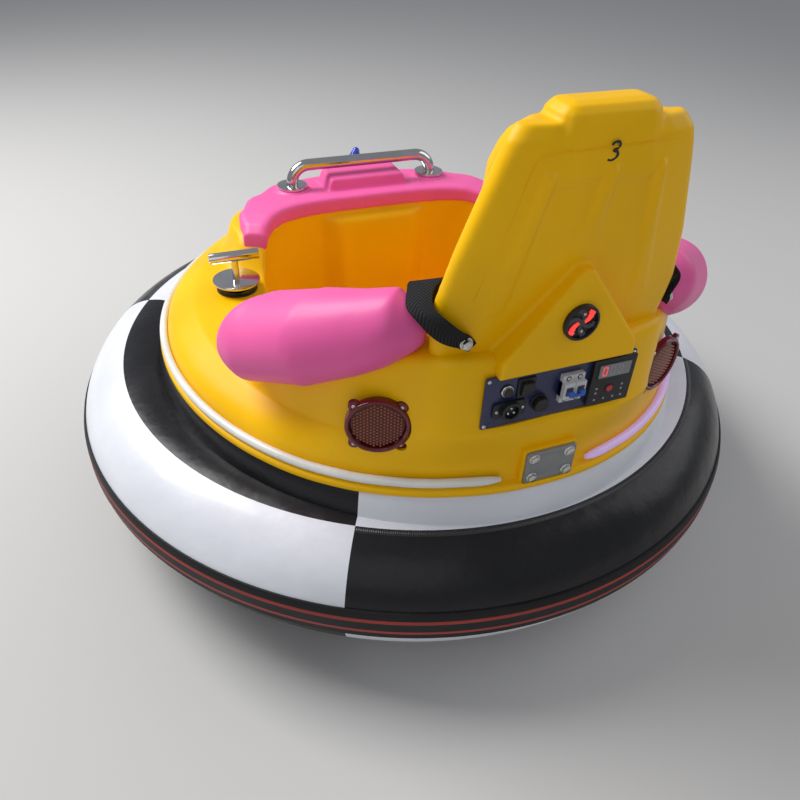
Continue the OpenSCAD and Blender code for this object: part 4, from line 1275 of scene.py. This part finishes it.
def make_panel_screws():
    """The panel's screws, the inlet's screws and pins, and the button's ring."""
    bm = bmesh.new()
    for x in (-116.5, 116.5):
        for z in (-38.5, 38.5):
            screw(bm, 3.2, on_panel((x, z)))
    for x in (-20.5, 20.5):
        screw(bm, 2.6, on_panel(INLET, x, 0, 4))
    for k in range(3):
        a = math.radians(90 + 120 * k)
        lathe(bm, [(0, 9.6), (1.2, 9.6), (1.8, 8.8), (1.8, 0)], 12,
              on_panel(INLET, 5.4 * math.cos(a), 5.4 * math.sin(a)))
    lathe(bm, [(7.2, 6), (7.2, 2), (9.2, 2), (9.4, 2.8), (8.8, 3.6), (7.9, 3.8)], 32,
          on_panel(BUTTON))
    make_piece(bm, "panel_screws", ["zinc_steel"], slot="plate_steel")


def make_inlet():
    """The charging inlet's round socket on its flange."""
    bm = bmesh.new()
    block(bm, (52, 26, 4), on_panel(INLET), round_r=5, top=0.6)
    socket = [(15, 3), (15, 11.2), (14.2, 12), (11.8, 12), (11, 11.2), (11, 5), (0, 5)]
    lathe(bm, socket, 48, on_panel(INLET))
    make_piece(bm, "inlet_socket", ["black_plastic"], replaces=["charging_inlet"],
               slot="black_plastic")


def make_button():
    """The round push button."""
    bm = bmesh.new()
    lathe(bm, [(10, 0), (10, 1.6), (9.4, 2), (7, 2), (7, 7), (6, 8), (0, 8.4)], 40,
          on_panel(BUTTON))
    make_piece(bm, "push_button", ["black_plastic"], replaces=["panel_button"],
               slot="black_plastic")


def make_rocker():
    """The rocker switch, one end pressed in."""
    bm = bmesh.new()
    block(bm, (28, 32, 3), on_panel(ROCKER), round_r=2, top=0.8)
    pressed = on_panel(ROCKER, out=2.5) @ Matrix.Rotation(math.radians(8), 4, "X")
    block(bm, (18, 22, 5.5), pressed, round_r=1.2, top=0.8)
    make_piece(bm, "rocker", ["black_plastic"], replaces=["rocker_switch"], slot="black_plastic")


def make_cap():
    """The round screw cap with ridges round its side."""
    bm = bmesh.new()
    lathe(bm, [(14, 0), (14, 2.4), (13.4, 3), (11.2, 3), (11.2, 11.6), (10, 13), (6, 13),
               (5.4, 12.2), (0, 12.2)], 40, on_panel(CAP))
    for k in range(24):
        ridge = on_panel(CAP) @ Matrix.Rotation(math.radians(15 * k), 4, "Z")
        block(bm, (1.2, 1.3, 7.6), ridge @ Matrix.Translation(at(11.2, 0, 3.4)), top=0.4)
    make_piece(bm, "round_cap", ["black_plastic"], replaces=["panel_cap"], slot="black_plastic")


def make_breaker():
    """The two-pole breaker with its joined levers and four terminals."""
    bm = bmesh.new()
    tilt = Matrix.Rotation(math.radians(-18), 4, "X")
    for x in (-9.1, 9.1):
        block(bm, (17.8, 46, 8), on_panel(BREAKER, x), round_r=1.0, top=0.8)
        block(bm, (17.8, 27, 15), on_panel(BREAKER, x), round_r=1.0, top=1.0)
        block(bm, (11, 14, 1.0), on_panel(BREAKER, x, 0, 15), round_r=1.0, top=0.3, index=2)
        block(bm, (9, 6.5, 8), on_panel(BREAKER, x, -2, 15) @ tilt, round_r=1.2, top=1.0, index=1)
        for z in (-18, 18):
            lathe(bm, [(0, 8.1), (3.4, 8.1), (3.6, 8.5), (4.0, 8.5), (4.2, 7.9)], 20,
                  on_panel(BREAKER, x, z), 2)
            screw(bm, 2.6, on_panel(BREAKER, x, z, 8.2), 3)
    block(bm, (24, 4, 5), on_panel(BREAKER, 0, -4, 19) @ tilt, round_r=0.8, top=0.8, index=1)
    make_piece(bm, "breaker_set", ["white_plastic", "blue_plastic", "grey_plastic", "zinc_steel"],
               replaces=["circuit_breaker"], slot="white_plastic")


# Place, width and height of the bars of a digit on the display, and places of the keys
DIGIT_BARS = ((0, 7, 6, 1.3), (-3.2, 3.6, 1.3, 6), (3.2, 3.6, 1.3, 6), (-3.2, -3.6, 1.3, 6),
              (3.2, -3.6, 1.3, 6), (0, -7, 6, 1.3))
KEYS = ((-24, -10), (-24, -18), (20, -10), (20, -18), (-24, -30), (-8, -30), (8, -30), (22, -30))


def make_display():
    """The timer display: a window with one lit digit, a red button and small keys."""
    bm = bmesh.new()
    block(bm, (72, 80, 6.4), on_panel(DISPLAY), round_r=2.5, top=1.2)
    block(bm, (58, 27, 7.2), on_panel(DISPLAY, 0, 20), round_r=1.5, top=0.5)
    block(bm, (53, 22, 0.5), on_panel(DISPLAY, 0, 20, 7.1), round_r=1.0, index=1)
    for x, z, w, h in DIGIT_BARS:
        block(bm, (w, h, 0.4), on_panel(DISPLAY, x - 17, 20 + z, 7.6), index=2)
        for shift in (-4, 9):
            block(bm, (w, h, 0.3), on_panel(DISPLAY, shift + x, 20 + z, 7.55), index=4)
    button = on_panel(DISPLAY, -2, -13, 6.3)
    lathe(bm, [(0, 2.6), (4.2, 2.3), (5.2, 1.4), (5.4, 0)], 28, button, 3)
    lathe(bm, [(5.6, 0), (5.6, 1), (7.2, 1), (7.4, 0)], 28, button)
    for x, z in KEYS:
        lathe(bm, [(0, 0.35), (1.9, 0.35), (2.0, 0)], 14, on_panel(DISPLAY, x, z, 6.3), 4)
    make_piece(bm, "display_set",
               ["black_plastic", "window_grey", "lamp_red", "button_red", "icon_grey"],
               replaces=["timer_display"], slot="black_plastic")


def make_plate_bolts():
    """The four bolts of the steel plate."""
    bm = bmesh.new()
    for x in (-PLATE_BOLT_X, PLATE_BOLT_X):
        for z in (-PLATE_BOLT_Z, PLATE_BOLT_Z):
            hex_bolt(bm, 6.2, 4.8 if z < 0 else 3.6, behind(x, REAR_Y - 14, PLATE_Z + z))
    make_piece(bm, "plate_bolts", ["zinc_steel"], slot="plate_steel")


# Across and height of the digit's stroke, and of the moulding line on the seat back
DIGIT_STROKE = ((-7, 9), (-3, 12.6), (3.5, 12.4), (6.2, 8), (3, 3), (-2, 0.8), (3.5, -0.4),
                (6.6, -4.5), (4.2, -10), (-2, -12.6), (-8, -11))
DIGIT_SHARE, DIGIT_LIFT, PEN_R = 0.85, 3.0, 1.9
MOULDING_LINE = ((100, 884), (40, 881), (-60, 879), (-84, 877), (-96, 870), (-102, 850),
                 (-112, 800), (-128, 745), (-142, 690))


def on_seat(x, z, out):
    """A point on the seat's back face."""
    return Vector((x, seat_face_y(x, z) + out, z))


def make_digit():
    """The hand-drawn digit on the seat back."""
    path = along_curve(
        [(x * DIGIT_SHARE, z * DIGIT_SHARE + DIGIT_LIFT) for x, z in DIGIT_STROKE], 5)
    last = len(path) - 1
    sections = []
    for i, (x, z) in enumerate(path):
        ahead, back = path[min(last, i + 1)], path[max(0, i - 1)]
        along = Vector((ahead[0] - back[0], 0, ahead[1] - back[1])).normalized()
        wide = along.cross(Vector((0, 1, 0)))
        r = PEN_R * (0.5 if i in (0, last) else 1.0) * (0.9 + 0.12 * math.sin(i * 0.9))
        middle = on_seat(x, DIGIT_Z + z, 0.1)
        sections.append([
            (middle + wide * r * math.cos(b) + Vector((0, -0.45 * math.sin(b), 0))) * MM
            for b in (math.tau * k / 8 for k in range(8))
        ])
    bm = bmesh.new()
    loft(bm, sections)
    make_piece(bm, "seat_digit", ["marker_black"], sharp=40)


def make_moulding_line():
    """The fine line that the mould leaves on the seat back."""
    rounds = [Vector((0.5 * math.cos(b), -0.42 * math.sin(b), 0.5 * math.cos(b)))
              for b in (math.tau * k / 6 for k in range(6))]
    bm = bmesh.new()
    loft(bm, [[(on_seat(x, z, 0.15) + off) * MM for off in rounds]
              for x, z in along_curve(MOULDING_LINE, 6)])
    make_piece(bm, "moulding_line", ["yellow_moulding"], sharp=40)


# Width and height of a weld strip, how deep its edges are sunk, and the share that slopes
WELD_W, WELD_H, WELD_SUNK, WELD_SLOPE = 11.0, 0.6, -0.6, 0.12


def on_tube(turn, b, lift):
    """A point by its angle round the ring and round the tube, at a height above the tube."""
    r = TUBE_MID_R + (TUBE_R + lift) * math.cos(b)
    return at(r * math.cos(turn), r * math.sin(turn), TUBE_Z + (TUBE_R + lift) * math.sin(b))


def make_welds():
    """Ribbed weld strips along the seam of the ring, on its black quarters."""
    first = settings().ring.first_seam
    seam = math.acos((settings().ring.seam_r / MM - TUBE_MID_R) / TUBE_R)
    inner = seam - WELD_W / TUBE_R
    bm = bmesh.new()
    for q in (0, 2):
        old = set(bm.faces)
        run, last, sections, marks = 0.0, None, [], []
        for k in range(61):
            turn = first + (q + k / 60) * math.pi / 2
            section = [on_tube(turn, inner, WELD_SUNK),
                       on_tube(turn, lerp(inner, seam, WELD_SLOPE), WELD_H),
                       on_tube(turn, lerp(inner, seam, 1 - WELD_SLOPE), WELD_H),
                       on_tube(turn, seam, WELD_SUNK)]
            middle = sum(section, Vector()) / len(section)
            run += (middle - last).length if last else 0.0
            last = middle
            marks += [(corner, (0.0, run)) for corner in section]
            sections.append(section)
        loft(bm, sections)
        map_faces(bm, [face for face in bm.faces if face not in old], marks)
    make_piece(bm, "ring_welds", ["ring_weld"], slot="ring_pvc", sharp=50)


def axle_place(x, y, z):
    """A place whose own Z points to the driver's right, as along an axle."""
    return Matrix.Translation(at(x, y, z)) @ Matrix.Rotation(math.pi / 2, 4, "Y")


# Place and radius of the driven wheels, and place, trail and radius of the castors' wheels
DRIVE_X, DRIVE_Y, DRIVE_R = 325.0, -30.0, 100.0
CASTOR_Y, CASTOR_TRAIL, CASTOR_R = 325.0, 30.0, 37.5
# One half of each tread's section: radius, and distance from the wheel's middle
TYRE_HALF = ((55, -21), (60, -23), (77, -25), (91, -23.4), (96.5, -19), (99, -14.5),
             (96, -13.8), (96, -11.4), (99.7, -10.6), (100, -2), (97, -1.4))
ROLLER_HALF = ((5.1, -12), (14, -12), (14.6, -9), (26, -9), (26.6, -11.4), (34, -12),
               (36.8, -9.4), (37.5, -4))


def make_roller(name, half, steps, place, look, **options):
    """A wheel turned from half of its section and that half's mirror."""
    bm = bmesh.new()
    profile = half + tuple((r, -z) for r, z in reversed(half))
    lathe(bm, profile + profile[:1], steps, place)
    make_piece(bm, name, [look], slot=look, **options)


def make_wheels():
    """Grooved tyres, hub bolts and nuts, and the castors' wheels and axle nuts."""
    for side, label in SIDES:
        place = axle_place(DRIVE_X * side, DRIVE_Y, DRIVE_R)
        make_roller("grooved_tyre_" + label, TYRE_HALF, 96, place, "tyre_rubber",
                    body="drive_wheel_" + label, replaces=["tyre_" + label])
        bm = bmesh.new()
        out = place if side > 0 else place @ Matrix.Rotation(math.pi, 4, "X")
        for k in range(5):
            spot = out @ Matrix.Rotation(math.radians(72 * k), 4, "Z")
            hex_bolt(bm, 4.6, 4, spot @ Matrix.Translation(at(33, 0, 3)))
        lathe(bm, [(8.9, 21), (16, 21), (16, 23), (8.9, 23)], 28, out)
        bmesh.ops.create_cone(bm, cap_ends=True, segments=6, radius1=14.5 * MM, radius2=13.5 * MM,
                              depth=9 * MM, matrix=out @ Matrix.Translation(at(0, 0, 27.5)))
        make_piece(bm, "hub_bolts_" + label, ["zinc_steel"], body="drive_wheel_" + label,
                   slot="hub_alloy")
    for end, label in ((1, "front"), (-1, "rear")):
        place = axle_place(0, CASTOR_Y * end - CASTOR_TRAIL, CASTOR_R)
        make_roller("castor_roller_" + label, ROLLER_HALF, 64, place, "castor_tread",
                    body=f"castor_{label}_wheel", replaces=["castor_wheel_" + label])
        bm = bmesh.new()
        for way in (0, math.pi):
            spot = place @ Matrix.Rotation(way, 4, "X") @ Matrix.Translation(at(0, 0, 20))
            hex_bolt(bm, 6.5, 5, spot)
        make_piece(bm, "castor_nuts_" + label, ["zinc_steel"], body="castor_" + label,
                   slot="zinc_steel")


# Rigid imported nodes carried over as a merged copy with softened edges: body, edge, material slot
REFINED = {
    "grab_rail": ("car", 0.0, "chrome"), "rail_flanges": ("car", 0.9, "chrome"),
    "cockpit_floor": ("car", 0.0, "yellow_moulding"),
    "seat_bench": ("car", 5.0, "yellow_moulding"), "control_panel": ("car", 0.5, "navy_panel"),
    "rear_plate": ("car", 0.6, "plate_steel"), "lever_mounts": ("car", 0.5, "black_plastic"),
    "chassis_frame": ("car", 1.2, "black_steel"), "battery_block": ("car", 3.0, "battery_case"),
    "drive_motor_left": ("car", 2.5, "motor_paint"),
    "drive_motor_right": ("car", 2.5, "motor_paint"),
    "lever_left": ("lever_left", 0.4, "chrome"), "lever_right": ("lever_right", 0.4, "chrome"),
    "hub_left": ("drive_wheel_left", 0.8, "hub_alloy"),
    "hub_right": ("drive_wheel_right", 0.8, "hub_alloy"),
    "castor_fork_front": ("castor_front", 0.8, "zinc_steel"),
    "castor_fork_rear": ("castor_rear", 0.8, "zinc_steel"),
}


def make_refined():
    """Carries the rigid nodes over with merged faces, softened edges and smooth round sides."""
    for name, (body, edge, slot) in REFINED.items():
        bm = bmesh.new()
        bm.from_mesh(NODES[name].data)
        bmesh.ops.remove_doubles(bm, verts=bm.verts, dist=2e-6)
        bmesh.ops.dissolve_limit(bm, angle_limit=math.radians(0.5), verts=bm.verts, edges=bm.edges)
        if edge:
            corners = [e for e in bm.edges
                       if len(e.link_faces) == 2 and e.calc_face_angle(0) > math.radians(40)]
            bmesh.ops.bevel(bm, geom=corners, offset=edge * MM, segments=2, profile=0.5,
                            affect="EDGES", material=-1, clamp_overlap=True)
        make_piece(bm, name + "_finished", [NODE_FINISH[name]], body=body, replaces=[name],
                   slot=slot, sharp=34, recalc=False)


class BUMPER_CAR_OT_stage(bpy.types.Operator):
    """Makes the camera, the floor and the lamps."""

    bl_idname = "bumper_car.stage"
    bl_label = "Stage"
    bl_options = {"REGISTER", "UNDO"}

    def execute(self, context):
        make_stage()
        return {"FINISHED"}


class BUMPER_CAR_OT_finishes(bpy.types.Operator):
    """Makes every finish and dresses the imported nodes."""

    bl_idname = "bumper_car.finishes"
    bl_label = "Finishes"
    bl_options = {"REGISTER", "UNDO"}

    def execute(self, context):
        make_finishes()
        dress_nodes()
        return {"FINISHED"}


class BUMPER_CAR_OT_ring(bpy.types.Operator):
    """Makes the inflated ring, its rubbing strip and its inner edge."""

    bl_idname = "bumper_car.ring"
    bl_label = "Ring"
    bl_options = {"REGISTER", "UNDO"}

    def execute(self, context):
        make_ring()
        make_rub_strip()
        make_collar()
        return {"FINISHED"}


class BUMPER_CAR_OT_body(bpy.types.Operator):
    """Makes the moulded body with its recesses."""

    bl_idname = "bumper_car.body"
    bl_label = "Body"
    bl_options = {"REGISTER", "UNDO"}

    def execute(self, context):
        make_body()
        return {"FINISHED"}


class BUMPER_CAR_OT_seat(bpy.types.Operator):
    """Makes the seat back."""

    bl_idname = "bumper_car.seat"
    bl_label = "Seat"
    bl_options = {"REGISTER", "UNDO"}

    def execute(self, context):
        make_seat()
        return {"FINISHED"}


class BUMPER_CAR_OT_pads(bpy.types.Operator):
    """Makes the dash pad and the arms."""

    bl_idname = "bumper_car.pads"
    bl_label = "Pads"
    bl_options = {"REGISTER", "UNDO"}

    def execute(self, context):
        make_dash_pad()
        make_arms()
        return {"FINISHED"}


class BUMPER_CAR_OT_light_strips(bpy.types.Operator):
    """Makes the light strips in the lip."""

    bl_idname = "bumper_car.light_strips"
    bl_label = "Light strips"
    bl_options = {"REGISTER", "UNDO"}

    def execute(self, context):
        make_light_strips()
        return {"FINISHED"}


class BUMPER_CAR_OT_refined(bpy.types.Operator):
    """Carries the rigid nodes over with softened edges."""

    bl_idname = "bumper_car.refined"
    bl_label = "Rigid pieces"
    bl_options = {"REGISTER", "UNDO"}

    def execute(self, context):
        make_refined()
        return {"FINISHED"}


class BUMPER_CAR_OT_belts(bpy.types.Operator):
    """Makes the webbing belts and their bolts."""

    bl_idname = "bumper_car.belts"
    bl_label = "Belts"
    bl_options = {"REGISTER", "UNDO"}

    def execute(self, context):
        make_belts()
        make_belt_bolts()
        return {"FINISHED"}


class BUMPER_CAR_OT_lamps(bpy.types.Operator):
    """Makes the tail lamps, the front lamp and the gable's light."""

    bl_idname = "bumper_car.lamps"
    bl_label = "Lamps"
    bl_options = {"REGISTER", "UNDO"}

    def execute(self, context):
        make_tail_lamps()
        make_front_lamp()
        make_back_light()
        return {"FINISHED"}


class BUMPER_CAR_OT_panel_items(bpy.types.Operator):
    """Makes what stands on the panel, and the plate's bolts."""

    bl_idname = "bumper_car.panel_items"
    bl_label = "Panel items"
    bl_options = {"REGISTER", "UNDO"}

    def execute(self, context):
        make_panel_screws()
        make_inlet()
        make_button()
        make_rocker()
        make_cap()
        make_breaker()
        make_display()
        make_plate_bolts()
        return {"FINISHED"}


class BUMPER_CAR_OT_marks(bpy.types.Operator):
    """Makes the digit, the moulding line and the welds."""

    bl_idname = "bumper_car.marks"
    bl_label = "Marks and welds"
    bl_options = {"REGISTER", "UNDO"}

    def execute(self, context):
        make_digit()
        make_moulding_line()
        make_welds()
        return {"FINISHED"}


class BUMPER_CAR_OT_wheels(bpy.types.Operator):
    """Makes the tyres, the castors' wheels and their bolts."""

    bl_idname = "bumper_car.wheels"
    bl_label = "Wheels"
    bl_options = {"REGISTER", "UNDO"}

    def execute(self, context):
        make_wheels()
        return {"FINISHED"}


OPERATORS = (
    BUMPER_CAR_OT_stage, BUMPER_CAR_OT_finishes, BUMPER_CAR_OT_ring, BUMPER_CAR_OT_body,
    BUMPER_CAR_OT_seat, BUMPER_CAR_OT_pads, BUMPER_CAR_OT_light_strips, BUMPER_CAR_OT_refined,
    BUMPER_CAR_OT_belts, BUMPER_CAR_OT_lamps, BUMPER_CAR_OT_panel_items, BUMPER_CAR_OT_marks,
    BUMPER_CAR_OT_wheels,
)


class CarSettings(bpy.types.PropertyGroup):
    """All settings of the car."""

    colours: PointerProperty(type=CarColours)
    ring: PointerProperty(type=RingSizes)


class BUMPER_CAR_PT_panel(bpy.types.Panel):
    """Lists the pieces of the bumper car."""

    bl_label = "Bumper Car"
    bl_space_type = "VIEW_3D"
    bl_region_type = "UI"
    bl_category = "Bumper Car"

    def draw(self, context):
        """One button to each operator."""
        for made in OPERATORS:
            self.layout.operator(made.bl_idname)


CLASSES = (CarColours, RingSizes, CarSettings, *OPERATORS, BUMPER_CAR_PT_panel)


def register():
    """Registers the classes and puts the settings on the scene."""
    for made in CLASSES:
        bpy.utils.register_class(made)
    bpy.types.Scene.bumper_car = PointerProperty(type=CarSettings)


def unregister():
    """Takes the settings and the classes away."""
    del bpy.types.Scene.bumper_car
    for made in reversed(CLASSES):
        bpy.utils.unregister_class(made)


def main():
    """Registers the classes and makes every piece."""
    register()
    for made in OPERATORS:
        getattr(bpy.ops.bumper_car, made.bl_idname.split(".")[1])()


if __name__ == "__main__":
    main()
